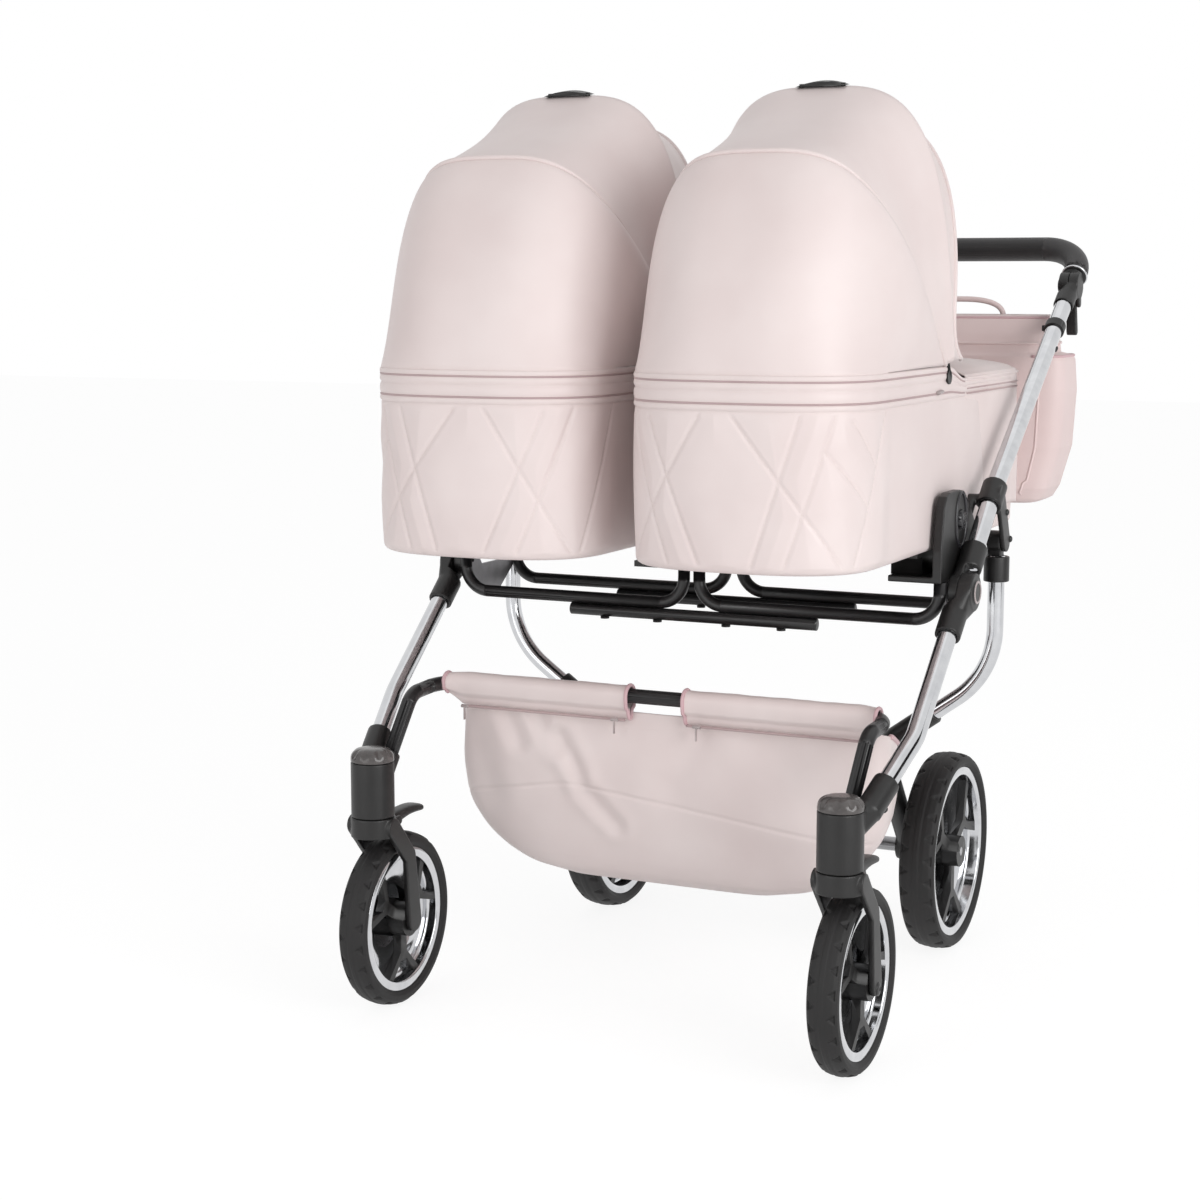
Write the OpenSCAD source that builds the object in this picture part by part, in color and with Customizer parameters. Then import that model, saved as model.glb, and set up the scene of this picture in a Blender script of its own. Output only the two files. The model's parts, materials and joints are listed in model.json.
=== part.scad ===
// Twin pram: two carrycots side by side on a folding chrome frame.
// Millimetres. The pram stands on Z = 0, X runs across it and the front faces -Y.

/* [Wheels] */
// Outer diameter of each front wheel
front_wheel_d = 229; // [215:1:240]
// Outer diameter of each rear wheel
rear_wheel_d = 280; // [260:1:300]
// Width of each front tyre
front_tyre_w = 39; // [32:1:42]
// Width of each rear tyre
rear_tyre_w = 50; // [40:1:52]
// Height of the tyre wall, from the chrome ring to the tread
tyre_wall = 19; // [14:1:24]
// Distance between the middles of the front wheels
front_track = 635; // [625:1:645]
// Distance between the middles of the rear wheels
rear_track = 518; // [500:1:522]
// Distance from the front hubs to the rear hubs
wheelbase = 562; // [545:1:590]
// How far each front hub trails behind its swivel
caster_trail = 51; // [46:1:56]

/* [Frame] */
// Diameter of the chrome side tubes
tube_d = 24; // [20:1:25]
// Distance between the middles of the side tubes
frame_w = 726; // [720:1:740]
// Slope of the side frame at the fold joint, in degrees
frame_slope = 40.5; // [38:0.5:43]
// Fold joint, behind the front hubs
fold_y = 266; // [256:1:276]
// Fold joint, above the ground
fold_z = 555; // [550:1:560]
// Length of the front leg from fold joint to bend
leg_upper_l = 239; // [225:1:250]
// Length of the front leg from bend to foot
leg_lower_l = 124; // [118:1:130]
// Diameter of the rear leg tubes
rear_tube_d = 22; // [18:1:23]
// Rear leg pivot, behind the front hubs
rear_pivot_y = 426; // [422:1:432]
// Rear leg pivot, above the ground
rear_pivot_z = 603; // [600:1:608]

/* [Handle] */
// Tilting joint of the handle, behind the front hubs
tilt_y = 785; // [775:1:795]
// Tilting joint of the handle, above the ground
tilt_z = 938; // [930:1:946]
// Reach of the grip behind its tilting joint
grip_back = 73; // [65:1:80]
// Rise of the grip above its tilting joint
grip_up = 53; // [46:1:60]
// Diameter of the wrapped grip
grip_d = 35; // [30:1:38]

/* [Cradle] */
// Diameter of the black cradle tubes
cradle_d = 16; // [14:1:17]
// Distance from the front cradle tubes to the rear ones
cradle_l = 150; // [140:1:160]
// Middle of the cradle, behind the front hubs
cradle_y = 320; // [316:1:324]
// Height of the cradle tubes' bottom runs
cradle_z = 519; // [514:1:524]

/* [Carrycots] */
// Distance between the middles of the carrycots
cot_pitch = 354; // [350:1:360]
// Width of a carrycot at its rim
cot_w = 306; // [296:1:310]
// Width of a carrycot at its bottom
cot_bottom_w = 296; // [286:1:300]
// Length of a carrycot
cot_l = 767; // [740:1:790]
// How far a carrycot stands out in front of the front hubs
cot_front = 72; // [64:1:80]
// Bottom of a carrycot, above the ground
cot_z = 606; // [604:1:612]
// Height of a carrycot's wall
cot_h = 232; // [224:1:240]
// Thickness of a carrycot's padded wall
cot_wall = 10; // [7:1:12]
// Radius of a hood from its pivot to its top
hood_r = 367; // [355:1:375]
// Width of a hood at its widest
hood_w = 326; // [318:1:332]

/* [Basket and bag] */
// Width of the basket at the front
basket_front_w = 632; // [600:1:640]
// Width of the basket at the back
basket_back_w = 490; // [420:1:500]
// Length of the basket
basket_l = 255; // [240:1:262]
// Lowest point of the basket, above the ground
basket_z = 152; // [146:1:165]
// Width of the bag between the handle tubes
bag_w = 692; // [660:1:696]
// Height of the bag
bag_h = 272; // [250:1:276]
// Depth of the bag
bag_d = 128; // [110:1:132]

/* [Hidden] */

chrome = "#C9CBCE";
black = "#2B2A2B";
smoke = "#4F4B4A";
pink = "#E2D6D2";
bag_pink = "#CDB9B6";
steel = "#8E8E90";
rubber = "#232324";

// Clearances: between bodies, in a running fit, in a push fit, and past a cut
gap = 0.3;
run_fit = 0.05;
push_fit = 0.05;
overrun = 1;
// A web drawn into a round sleeve stays this far inside it
web_inset = 0.8;
// A bend is this much fatter than its tube and laps onto it by this length
bend_swell = 0.08;
bend_lap = 1;

// Middle of the pram along Y, from the front hubs
mid_y = (tilt_y + grip_back + grip_d / 2 - front_wheel_d / 2) / 2;

// Widths are stated for carrycots of the usual width and pitch, and grow with them
usual_cot_w = 306;
usual_cot_pitch = 354;
cot_extra_w = cot_w - usual_cot_w;
cot_x = (cot_pitch + cot_extra_w) / 2;
base_w = cot_bottom_w + cot_extra_w;
hood_full_w = hood_w + cot_extra_w;
widen = cot_extra_w + (cot_pitch - usual_cot_pitch) / 2;
cot_clear = 4;
tube_r = tube_d / 2;
sleeve_wall = 4.5;
sleeve_r = tube_r + sleeve_wall;

// Side frame
frame_x = frame_w / 2 + widen;
rear_tube_r = rear_tube_d / 2;
slope_dir = [0, cos(frame_slope), sin(frame_slope)];
fold_pt = [frame_x, fold_y, fold_z];
tilt_pt = [frame_x, tilt_y, tilt_z];
rear_pivot = [frame_x, rear_pivot_y, rear_pivot_z];
// Distances along the side frame from the fold joint
neck_start = 38;
neck_end = 76;
bracket_start = 152;
bracket_end = 190;
lug_share = 0.5;
lug_l = 25;
handle_bend_at = 183;
handle_bend_r = 400;
handle_bend_pt = fold_pt + handle_bend_at * slope_dir;
handle_dir = unit(tilt_pt - handle_bend_pt);
handle_tube_stop = 26;
leg_bend_r = 90;
leg_pitch = 34.3;
leg_toe = 12.6;
leg_dir = [cos(leg_pitch) * sin(leg_toe), cos(leg_pitch) * cos(leg_toe), sin(leg_pitch)];
leg_bend_pt = fold_pt - leg_upper_l * slope_dir;
leg_foot = leg_bend_pt - leg_lower_l * leg_dir;

// Fold joint: an inner eye on the handle tube, an outer cover on the leg
eye_r = 20;
eye_w = 13;
cover_r = 24;
cover_w = 19;
fold_pin_r = 6;
disc_r = 15;
disc_h = 2;

// Rear leg: plate and pin on the bracket, knuckle on the leg
arm_r = 14;
arm_in = 8;
arm_t = 6;
rear_pin_r = 5;
knuckle_w = 19;
knuckle_neck = 16;
knuckle_sleeve_l = 34;
knuckle_drop = 20;
rear_sleeve_step = 1.5;
rear_sleeve_r = rear_tube_r + sleeve_wall + rear_sleeve_step;
rear_leg_fall = 179;
rear_leg_run = 134;
rear_leg_angle = 36;
rear_bend_r = 120;
rear_dir = [-cos(rear_leg_angle), 0, -sin(rear_leg_angle)];
rear_corner = rear_pivot - [0, 0, rear_leg_fall];
rear_foot = rear_corner + rear_leg_run * rear_dir;
rear_arm_r = 15;
rear_arm_lap = 34;
rear_arm_run = 60;
rear_arm_bend_r = 50;
rear_hub = [rear_track / 2 + widen, wheelbase, rear_wheel_d / 2];
axle_block_r = 20;
axle_block_w = 32;
axle_tube_r = 10;
axle_pin_r = 6;
axle_collar_r = 14;
axle_collar_w = 5;
rear_wheel_in = rear_hub.x - rear_tyre_w / 2;
axle_block_gap = 6;
axle_block_x = rear_wheel_in - axle_collar_w - axle_block_w - axle_block_gap;
pedal_w = 120;
pedal_l = 58;
pedal_t = 8;
pedal_barrel_r = 16;
pedal_angle = 14;

// Casters
caster_x = front_track / 2 + widen;
caster_y = -caster_trail;
front_r = front_wheel_d / 2;
front_hub = [caster_x, 0, front_r];
crown_r = 29;
crown_h = 26;
crown_up = 121.5;
crown_z = front_r + crown_up;
socket_z = crown_z + crown_h + gap;
socket_r = 28;
socket_h = 72;
stem_r = 9;
stem_l = 48;
cap_h = 18;
cap_top_share = 0.6;
cap_groove_n = 6;
cap_groove_w = 3;
cap_groove_h = 5;
fork_leg_t = 7.5;
fork_gap = 5.5;
fork_in = front_tyre_w / 2 + fork_gap;
fork_top_r = crown_h / 2;
fork_knee_r = 12;
fork_knee_y = -10;
fork_knee_up = 88;
fork_knee_z = front_r + fork_knee_up;
fork_foot_r = 15;
front_axle_r = 5;
lever_pin_r = 3;
lever_barrel_r = 7;
lever_w = 26;
lever_l = 72;
lever_t = 7;
lever_pin_back = 9;
lever_pin_up = 14;
lever_pin_y = caster_y + crown_r + lever_pin_back;
lever_pin_z = crown_z + lever_pin_up;
lever_ear_t = 5;
lever_ear_r = 6;
foot_sleeve_l = 46;
foot_arm_r = 17;
foot_arm_up = 32;
foot_arm_z = socket_z + foot_arm_up;
foot_arm_h = 36;

// Basket bar
bar_r = 9.5;
bar_inset = 47;
bar_x = frame_x - bar_inset;
// Places along the bar, behind and above the front leg's foot
bar_start_back = 8;
bar_start_up = 6;
bar_rise_back = 64;
bar_rise_up = 76;
bar_back = 154;
bar_up = 80;
bar_start = [bar_x, leg_foot.y + bar_start_back, leg_foot.z + bar_start_up];
bar_rise = [bar_x, leg_foot.y + bar_rise_back, leg_foot.z + bar_rise_up];
bar_y = leg_foot.y + bar_back;
bar_z = leg_foot.z + bar_up;
bar_knee_r = 35;
bar_corner_r = 45;
bar_boss_r = 13;
bar_boss_l = 31;
bar_boss_root = bar_start - bar_boss_l * unit(bar_rise - bar_start);

// Cradle and adaptors
cradle_r = cradle_d / 2;
cradle_front_y = cradle_y - cradle_l / 2;
cradle_back_y = cradle_y + cradle_l / 2;
riser_inset = 22;
riser_out_x = frame_x - riser_inset;
riser_in_x = 11;
riser_bend_r = 34;
seat_z = 575;
ledge_t = 8;
ledge_z = seat_z - ledge_t;
splice_l = 354;
bolt_r = 4;
bolt_head_r = 6;
bolt_head_h = 3;
bolt_spread_shares = [-0.36, -0.14, 0.14, 0.36];
adaptor_lap = 5;
adaptor_y0 = cradle_front_y - cradle_r - adaptor_lap;
adaptor_y1 = cradle_back_y + cradle_r + adaptor_lap;
adaptor_l = adaptor_y1 - adaptor_y0;
adaptor_h = 113;
ledge_w = 58;
tongue_w = 24;
tongue_l = 60;
tongue_h = 12;
tongue_gap = 0.6;
button_r = 12;
button_h = 5;
button_out = 4;
button_travel = 4;
button_y_share = 0.46;
button_z_share = 0.66;
// Side of an adaptor: shares of its length and height
adaptor_shares = [
    [0, 0], [1, 0], [1, 0.2], [0.88, 0.52], [0.66, 0.85], [0.53, 0.97], [0.45, 1], [0.2, 1],
    [0.11, 0.96], [0.06, 0.86], [0, 0.36]
];
plate_t = 4;
plate_h = 57;
// Side plate between the cradle's risers: shares of its length and height
plate_shares = [
    [0, 0.62], [0, 1], [0.2, 1], [0.3, 0.7], [0.7, 0.7], [0.8, 1], [1, 1], [1, 0.5], [0.7, 0], [0.32, 0]
];
plate_hole_r = 3;
plate_hole_drop = 9;
plate_hole_shares = [0.1, 0.9];

// Carrycots
cot_back_y = cot_l - cot_front;
rim_z = cot_z + cot_h;
front_depth = 130;
back_depth = 110;
front_power = 2.8;
back_power = 2.8;
cot_points = 44;
cot_edge = 8;
cot_floor = 7;
base_t = 7;
base_margin = 20;
mattress_h = 34;
mattress_gap = 1;
mattress_crown = 7;
mattress_pull = 5;
hood_pivot_y = 295;
hood_pivot_drop = 14;
hood_pivot_z = rim_z - hood_pivot_drop;
hood_pin_r = 5;
hood_disc_r = 9;
hood_disc_t = 3;
hood_link_r = 4;
hood_t = 3;
hood_foot = 22;
hood_cols = 24;
hood_rows = 8;
// Angles of the hood's back arch, top bow and front edge about its pivot
arch_angle = 45.3;
top_angle = 8.8;
mouth_angle = -16;
// Radius and half width of the hood at those angles, as shares of its top radius and full width
arch_r_share = 1.055;
arch_w_share = 0.474;
mouth_r_share = 0.935;
mouth_w_share = 0.469;
// Squareness of the hood at those angles
arch_power = 3.4;
top_power = 3.4;
mouth_power = 3.6;
back_bulge = 20;
side_bulge = 18;
// The mouth flares backwards near its foot
mouth_flare = 130;
mouth_flare_power = 14;
bow_w_angle = 1.8;
bow_sink = 2.6;
bow_t = 4;
carry_w = 92;
carry_t = 6;
carry_depth = 20;
carry_pin_share = 0.3;
carry_pin_r = 3;
carry_pin_l = hood_t + bow_sink + bow_t;
apron_t = 3;
apron_gap = 0.8;
apron_y = 372;
apron_slant = 6;
apron_drop = 200;
apron_crown = 16;
apron_points = 40;

// Basket and bag
cloth_t = 4;
hem_r = bar_r + gap + cloth_t;
hem_x = bar_x - bar_corner_r - cloth_t;
hem_window = 70;
basket_back_step = 3;
basket_y = bar_y + basket_back_step;
basket_rim_z = bar_z - bar_r - gap;
basket_back_drop = 66;
basket_points = 44;
basket_power = 8;
bag_y = 779;
bag_z = 896;
bag_points = 44;
bag_power = 7;
bag_half = bag_w / 2 + widen;
pocket_out = 24;
loop_w = 130;
loop_h = 22;
loop_r = 4;
loop_bend_r = 20;
loop_x_share = 0.29;
hook_at = 105;
hook_l = 14;
hook_wall = 2.5;
hook_r = tube_r + hook_wall;
hook_tab_w = 8;
hook_tab_t = 8;
hook_tab_share = 0.075;

// Wheels
ring_depth = 13;
dish_t = 4;
dish_clear = 0.2;
hub_r = 22;
hub_fit = 0.3;
spoke_t = 11;
spoke_w = 15;
spoke_n = 3;
fork_spread = 26;
spoke_end_angle = 3.75;
spoke_split_share = 0.5;
rim_w_share = 0.42;
// Tyre section, as shares of its wall and width, from the ring to the tread's ridge
tyre_shares = [[0, 0.42], [0.3, 0.5], [0.62, 0.49], [0.86, 0.38], [0.95, 0.22], [0.955, 0.1], [1, 0.06]];

// Handle joint
joint_r = 19;
joint_w = 14;
tilt_pin_r = 6;
tilt_pin_l = 5;
push_r = 9;
push_h = 7;
push_travel = 3;
push_recess = 8;
push_gap = 0.3;
arm_neck_r = 13;
arm_neck_l = 26;
ring_l = 5;
grip_corner_r = 58;
grip_dir = unit([0, grip_back, grip_up]);
trigger_drop = 26;
trigger_back = 7;
trigger_r = 6;
trigger_l = 40;
trigger_w = 15;
trigger_pin_r = 3;
lug_t = 6;

function unit(v) = v / norm(v);
function mix(a, b, s) = a + (b - a) * s;
function mean(ring) = [for (k = [0:2]) [for (p = ring) p[k]] * [for (p = ring) 1 / len(ring)]];
function power_x(a, p) = sign(cos(a)) * pow(abs(cos(a)), 2 / p);
function power_y(a, p) = sign(sin(a)) * pow(abs(sin(a)), 2 / p);

module place() translate([0, -mid_y, 0]) children();

module both() {
    children();
    mirror([1, 0, 0]) children();
}

module on_side(side) {
    if (side > 0) children();
    else mirror([1, 0, 0]) children();
}

module rod(a, b, r, fn = 48) {
    d = b - a;
    translate(a) rotate([0, acos(d.z / norm(d)), atan2(d.y, d.x)]) cylinder(h = norm(d), r = r, $fn = fn);
}

// A rod along X, from x0 to x1
module cross_rod(x0, x1, y, z, r, fn = 48)
    translate([x0, y, z]) rotate([0, 90, 0]) cylinder(h = x1 - x0, r = r, $fn = fn);

module bend(a, b, c, bend_r, r) {
    d1 = unit(b - a);
    d2 = unit(c - b);
    turn = acos(d1 * d2);
    n = unit(d2 - d1 * (d1 * d2));
    mid = b - d1 * bend_r * tan(turn / 2) + n * bend_r;
    z = cross(-n, d1);
    multmatrix([
        [-n.x, d1.x, z.x, mid.x],
        [-n.y, d1.y, z.y, mid.y],
        [-n.z, d1.z, z.z, mid.z],
        [0, 0, 0, 1]
    ]) rotate_extrude(angle = turn, $fn = 96) translate([bend_r, 0]) circle(r = r + bend_swell, $fn = 48);
}

// A round tube through pts, bent at each inner point to the radius in bends
module bent_rod(pts, bends, r) {
    last = len(pts) - 1;
    turns = [for (i = [1:last - 1]) acos(unit(pts[i] - pts[i - 1]) * unit(pts[i + 1] - pts[i]))];
    cuts = [0, for (i = [1:last - 1]) bends[i - 1] * tan(turns[i - 1] / 2) - bend_lap, 0];
    for (i = [0:last - 1]) {
        d = unit(pts[i + 1] - pts[i]);
        rod(pts[i] + d * cuts[i], pts[i + 1] - d * cuts[i + 1], r);
    }
    for (i = [1:last - 1]) bend(pts[i - 1], pts[i], pts[i + 1], bends[i - 1], r);
}

// A solid through closed rings of equal length, capped at both ends
module loft(rings) {
    n = len(rings[0]);
    m = len(rings);
    points = concat([for (ring = rings) each ring], [mean(rings[0]), mean(rings[m - 1])]);
    sides = [
        for (i = [0:m - 2], j = [0:n - 1], half = [0, 1])
            let (a = i * n + j, b = i * n + (j + 1) % n, c = b + n, d = a + n)
            half == 0 ? [a, d, c] : [a, c, b]
    ];
    low = [for (j = [0:n - 1]) [m * n, j, (j + 1) % n]];
    high = [for (j = [0:n - 1]) [m * n + 1, (m - 1) * n + (j + 1) % n, (m - 1) * n + j]];
    polyhedron(points, concat(sides, low, high), convexity = 8);
}

// A sheet with thickness between two grids of points of equal size
module sheet(outer, inner) {
    m = len(outer);
    n = len(outer[0]);
    far = m * n;
    points = concat([for (row = outer) each row], [for (row = inner) each row]);
    skins = [
        for (i = [0:m - 2], j = [0:n - 2], half = [0, 1])
            let (a = i * n + j, b = a + 1, c = b + n, d = a + n)
            each half == 0
                ? [[a, b, c], [far + a, far + c, far + b]]
                : [[a, c, d], [far + a, far + d, far + c]]
    ];
    rows = [
        for (j = [0:n - 2], half = [0, 1])
            let (a = j, b = j + 1, c = (m - 1) * n + j, d = c + 1)
            each half == 0
                ? [[a, far + a, far + b], [c, d, far + d]]
                : [[a, far + b, b], [c, far + d, far + c]]
    ];
    columns = [
        for (i = [0:m - 2], half = [0, 1])
            let (a = i * n, b = a + n, c = a + n - 1, d = b + n - 1)
            each half == 0
                ? [[a, b, far + b], [c, far + d, d]]
                : [[a, far + b, far + a], [c, far + c, far + d]]
    ];
    polyhedron(points, concat(skins, rows, columns), convexity = 8);
}

// Wheels

module at_hub(hub) translate(hub) rotate([0, 90, 0]) children();

module tyre(hub, wheel_r, w) {
    half = [for (s = tyre_shares) [wheel_r - tyre_wall + s.x * tyre_wall, s.y * w]];
    other = [for (i = [len(half) - 1:-1:0]) [half[i].x, -half[i].y]];
    color(rubber) at_hub(hub) rotate_extrude($fn = 96) polygon(concat(half, other));
}

module rim(hub, wheel_r, w) {
    out_r = wheel_r - tyre_wall - push_fit;
    in_r = out_r - ring_depth;
    half_w = rim_w_share * w;
    half = [[hub_r + hub_fit, dish_t / 2], [in_r, dish_t / 2], [in_r, half_w], [out_r, half_w]];
    other = [for (i = [len(half) - 1:-1:0]) [half[i].x, -half[i].y]];
    color(chrome) at_hub(hub) rotate_extrude($fn = 96) polygon(concat(half, other));
}

// One Y shaped spoke, flat, from the hub to the ring
module spoke(out_r) {
    split = out_r * spoke_split_share;
    translate([0, -spoke_w / 2]) square([split + spoke_w / 2, spoke_w]);
    for (s = [-1, 1]) {
        polygon([
            [split - spoke_w / 4, 0],
            [split + spoke_w / 2, s * spoke_w / 2],
            [out_r * cos(fork_spread - spoke_end_angle), s * out_r * sin(fork_spread - spoke_end_angle)],
            [out_r * cos(fork_spread + spoke_end_angle), s * out_r * sin(fork_spread + spoke_end_angle)],
            [split - spoke_w / 4, s * spoke_w / 2]
        ]);
    }
}

module spider(hub, wheel_r, hub_w, bore_r) {
    out_r = wheel_r - tyre_wall - push_fit - ring_depth - hub_fit;
    color(black) at_hub(hub) difference() {
        union() {
            for (side = [-1, 1]) {
                translate([0, 0, side > 0 ? dish_t / 2 + dish_clear : -dish_t / 2 - dish_clear - spoke_t])
                    linear_extrude(spoke_t) intersection() {
                        circle(r = out_r, $fn = 96);
                        for (k = [0:spoke_n - 1]) rotate(k * 360 / spoke_n) spoke(out_r + spoke_w);
                    }
            }
            translate([0, 0, -hub_w / 2]) cylinder(h = hub_w, r = hub_r, $fn = 64);
        }
        translate([0, 0, -hub_w / 2 - overrun])
            cylinder(h = hub_w + 2 * overrun, r = bore_r + run_fit, $fn = 48);
    }
}

module front_tyre(side) place() on_side(side) tyre(front_hub, front_r, front_tyre_w);
module front_rim(side) place() on_side(side) rim(front_hub, front_r, front_tyre_w);
module front_spider(side) place() on_side(side) spider(front_hub, front_r, 2 * (fork_in - gap), front_axle_r);
module rear_tyre(side) place() on_side(side) tyre(rear_hub, rear_hub.z, rear_tyre_w);
module rear_rim(side) place() on_side(side) rim(rear_hub, rear_hub.z, rear_tyre_w);
module rear_spider(side) place() on_side(side) spider(rear_hub, rear_hub.z, rear_tyre_w - gap, axle_pin_r);

// Casters

module fork_leg(s) {
    x0 = caster_x + (s > 0 ? fork_in : -fork_in - fork_leg_t);
    x1 = x0 + fork_leg_t;
    hull() {
        cross_rod(x0, x1, caster_y, crown_z + fork_top_r, fork_top_r, 32);
        cross_rod(x0, x1, fork_knee_y, fork_knee_z, fork_knee_r, 32);
    }
    hull() {
        cross_rod(x0, x1, fork_knee_y, fork_knee_z, fork_knee_r, 32);
        cross_rod(x0, x1, 0, front_r, fork_foot_r, 32);
    }
}

module lever_ear(s) {
    x0 = caster_x + (s > 0 ? lever_w / 2 + gap : -lever_w / 2 - gap - lever_ear_t);
    hull() {
        cross_rod(x0, x0 + lever_ear_t, lever_pin_y, lever_pin_z, lever_ear_r, 32);
        cross_rod(x0, x0 + lever_ear_t, caster_y, crown_z + crown_h / 2, lever_ear_r, 32);
    }
}

module fork(side) place() on_side(side) color(black) {
    translate([caster_x, caster_y, crown_z]) cylinder(h = crown_h, r = crown_r, $fn = 64);
    translate([caster_x, caster_y, crown_z]) cylinder(h = crown_h + stem_l, r = stem_r, $fn = 48);
    fork_out = fork_in + fork_leg_t;
    for (s = [-1, 1]) {
        fork_leg(s);
        lever_ear(s);
    }
    cross_rod(
        caster_x - fork_out + web_inset, caster_x + fork_out - web_inset,
        caster_y, crown_z + fork_top_r, fork_top_r - web_inset
    );
    cross_rod(caster_x - fork_out, caster_x + fork_out, 0, front_r, front_axle_r);
    ear_x = lever_w / 2 + gap + lever_ear_t;
    cross_rod(caster_x - ear_x, caster_x + ear_x, lever_pin_y, lever_pin_z, lever_pin_r);
}

module lever_bar(w, y) cross_rod(caster_x - w / 2, caster_x + w / 2, y, lever_pin_z, lever_t / 2, 32);

module lock_lever(side) place() on_side(side) color(black) difference() {
    union() {
        cross_rod(caster_x - lever_w / 2, caster_x + lever_w / 2, lever_pin_y, lever_pin_z, lever_barrel_r);
        hull() {
            lever_bar(lever_w / 2, lever_pin_y);
            lever_bar(lever_w, lever_pin_y + lever_l);
        }
    }
    cross_rod(caster_x - lever_w, caster_x + lever_w, lever_pin_y, lever_pin_z, lever_pin_r + run_fit);
}

module at_cap() translate([caster_x, caster_y, socket_z + socket_h]) children();

module caster_sockets() place() both() color(black) difference() {
    union() {
        translate([caster_x, caster_y, socket_z]) cylinder(h = socket_h, r = socket_r, $fn = 64);
        hull() {
            translate([caster_x, caster_y, foot_arm_z]) cylinder(h = foot_arm_h, r = foot_arm_r, $fn = 32);
            rod(
                leg_foot - leg_dir * (sleeve_wall - web_inset), leg_foot + leg_dir * sleeve_wall,
                sleeve_r - web_inset, 32
            );
        }
        rod(leg_foot - leg_dir * sleeve_wall, leg_foot + leg_dir * foot_sleeve_l, sleeve_r);
        rod(bar_boss_root, bar_start - push_fit * unit(bar_rise - bar_start), bar_boss_r);
    }
    rod(leg_foot, leg_foot + leg_dir * (foot_sleeve_l + overrun), tube_r + push_fit);
    translate([caster_x, caster_y, socket_z - overrun])
        cylinder(h = stem_l + 2 * overrun, r = stem_r + run_fit, $fn = 48);
    at_cap() cylinder(h = 2 * cap_h, r = socket_r + gap, $fn = 64);
}

module caster_caps() place() both() color(smoke) at_cap() difference() {
    rotate_extrude($fn = 64) polygon([
        [0, 0], [socket_r, 0], [socket_r, cap_h * (1 - cap_top_share)],
        [socket_r * cap_top_share, cap_h], [0, cap_h]
    ]);
    for (k = [0:cap_groove_n - 1]) rotate(k * 360 / cap_groove_n)
        translate([0, -cap_groove_w / 2, cap_h - cap_groove_h])
            cube([socket_r + overrun, cap_groove_w, cap_h]);
}

// Front legs and basket

module front_legs() place() both() color(chrome)
    bent_rod([leg_foot, leg_bend_pt, fold_pt - neck_start * slope_dir], [leg_bend_r], tube_r);

module fold_joint_covers() place() both() color(black) {
    x0 = frame_x + gap / 2;
    difference() {
        union() {
            cross_rod(x0, x0 + cover_w, fold_y, fold_z, cover_r, 64);
            hull() {
                cross_rod(x0 + web_inset, x0 + cover_w - web_inset, fold_y, fold_z, cover_r - web_inset, 32);
                rod(
                    fold_pt - (neck_start + web_inset) * slope_dir,
                    fold_pt - (neck_start + sleeve_wall) * slope_dir,
                    sleeve_r - web_inset, 32
                );
            }
            rod(fold_pt - neck_end * slope_dir, fold_pt - neck_start * slope_dir, sleeve_r);
            cross_rod(x0 + web_inset, x0 + cover_w + disc_h, fold_y, fold_z, disc_r);
        }
        rod(fold_pt - (neck_end + overrun) * slope_dir, fold_pt - neck_start * slope_dir, tube_r + push_fit);
        cross_rod(frame_x - 2 * cover_w, x0, fold_y, fold_z, neck_start - sleeve_wall);
    }
    cross_rod(x0 - eye_w, x0 + web_inset, fold_y, fold_z, fold_pin_r);
}

module basket_bar() place() color(black) bent_rod([
    bar_start, bar_rise, [bar_x, bar_y, bar_z],
    [-bar_x, bar_y, bar_z], [-bar_rise.x, bar_rise.y, bar_rise.z], [-bar_start.x, bar_start.y, bar_start.z]
], [bar_knee_r, bar_corner_r, bar_corner_r, bar_knee_r], bar_r);

// A ring of the basket: inset is the wall, spread and reach shrink it, rise goes from floor to rim
function basket_ring(spread, reach, rise, inset) = [
    for (k = [0:basket_points - 1])
        let (
            a = 360 * k / basket_points,
            v = power_y(a, basket_power),
            half = mix(basket_front_w, basket_back_w, (v + 1) / 2) / 2,
            top = basket_rim_z - basket_back_drop * (v + 1) / 2,
            low = basket_z + inset
        )
        [
            power_x(a, basket_power) * (half - inset) * spread,
            basket_y + basket_l / 2 + v * (basket_l / 2 - inset) * reach,
            mix(low, top, rise)
        ]
];

// Rings of the basket's wall: shares of its width, length and height
basket_shares = [
    [0.5, 0.8, 0], [0.7, 0.92, 0.06], [0.86, 0.97, 0.2], [0.97, 0.99, 0.4], [1, 1, 0.65], [0.99, 1, 1]
];

module basket() place() color(pink) difference() {
    n = len(basket_shares) - 1;
    union() {
        loft(concat(
            [for (s = basket_shares) basket_ring(s.x, s.y, s.z, 0)],
            [for (k = [n:-1:0]) let (s = basket_shares[k]) basket_ring(s.x, s.y, s.z, cloth_t)]
        ));
        both() cross_rod(hem_window / 2, hem_x, bar_y, bar_z, hem_r);
    }
    cross_rod(-bar_x, bar_x, bar_y, bar_z, bar_r + gap);
}

// Upper frame

module handle_tubes() place() both() color(chrome)
    bent_rod(
        [fold_pt + neck_start * slope_dir, handle_bend_pt, tilt_pt - handle_tube_stop * handle_dir],
        [handle_bend_r], tube_r
    );

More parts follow.
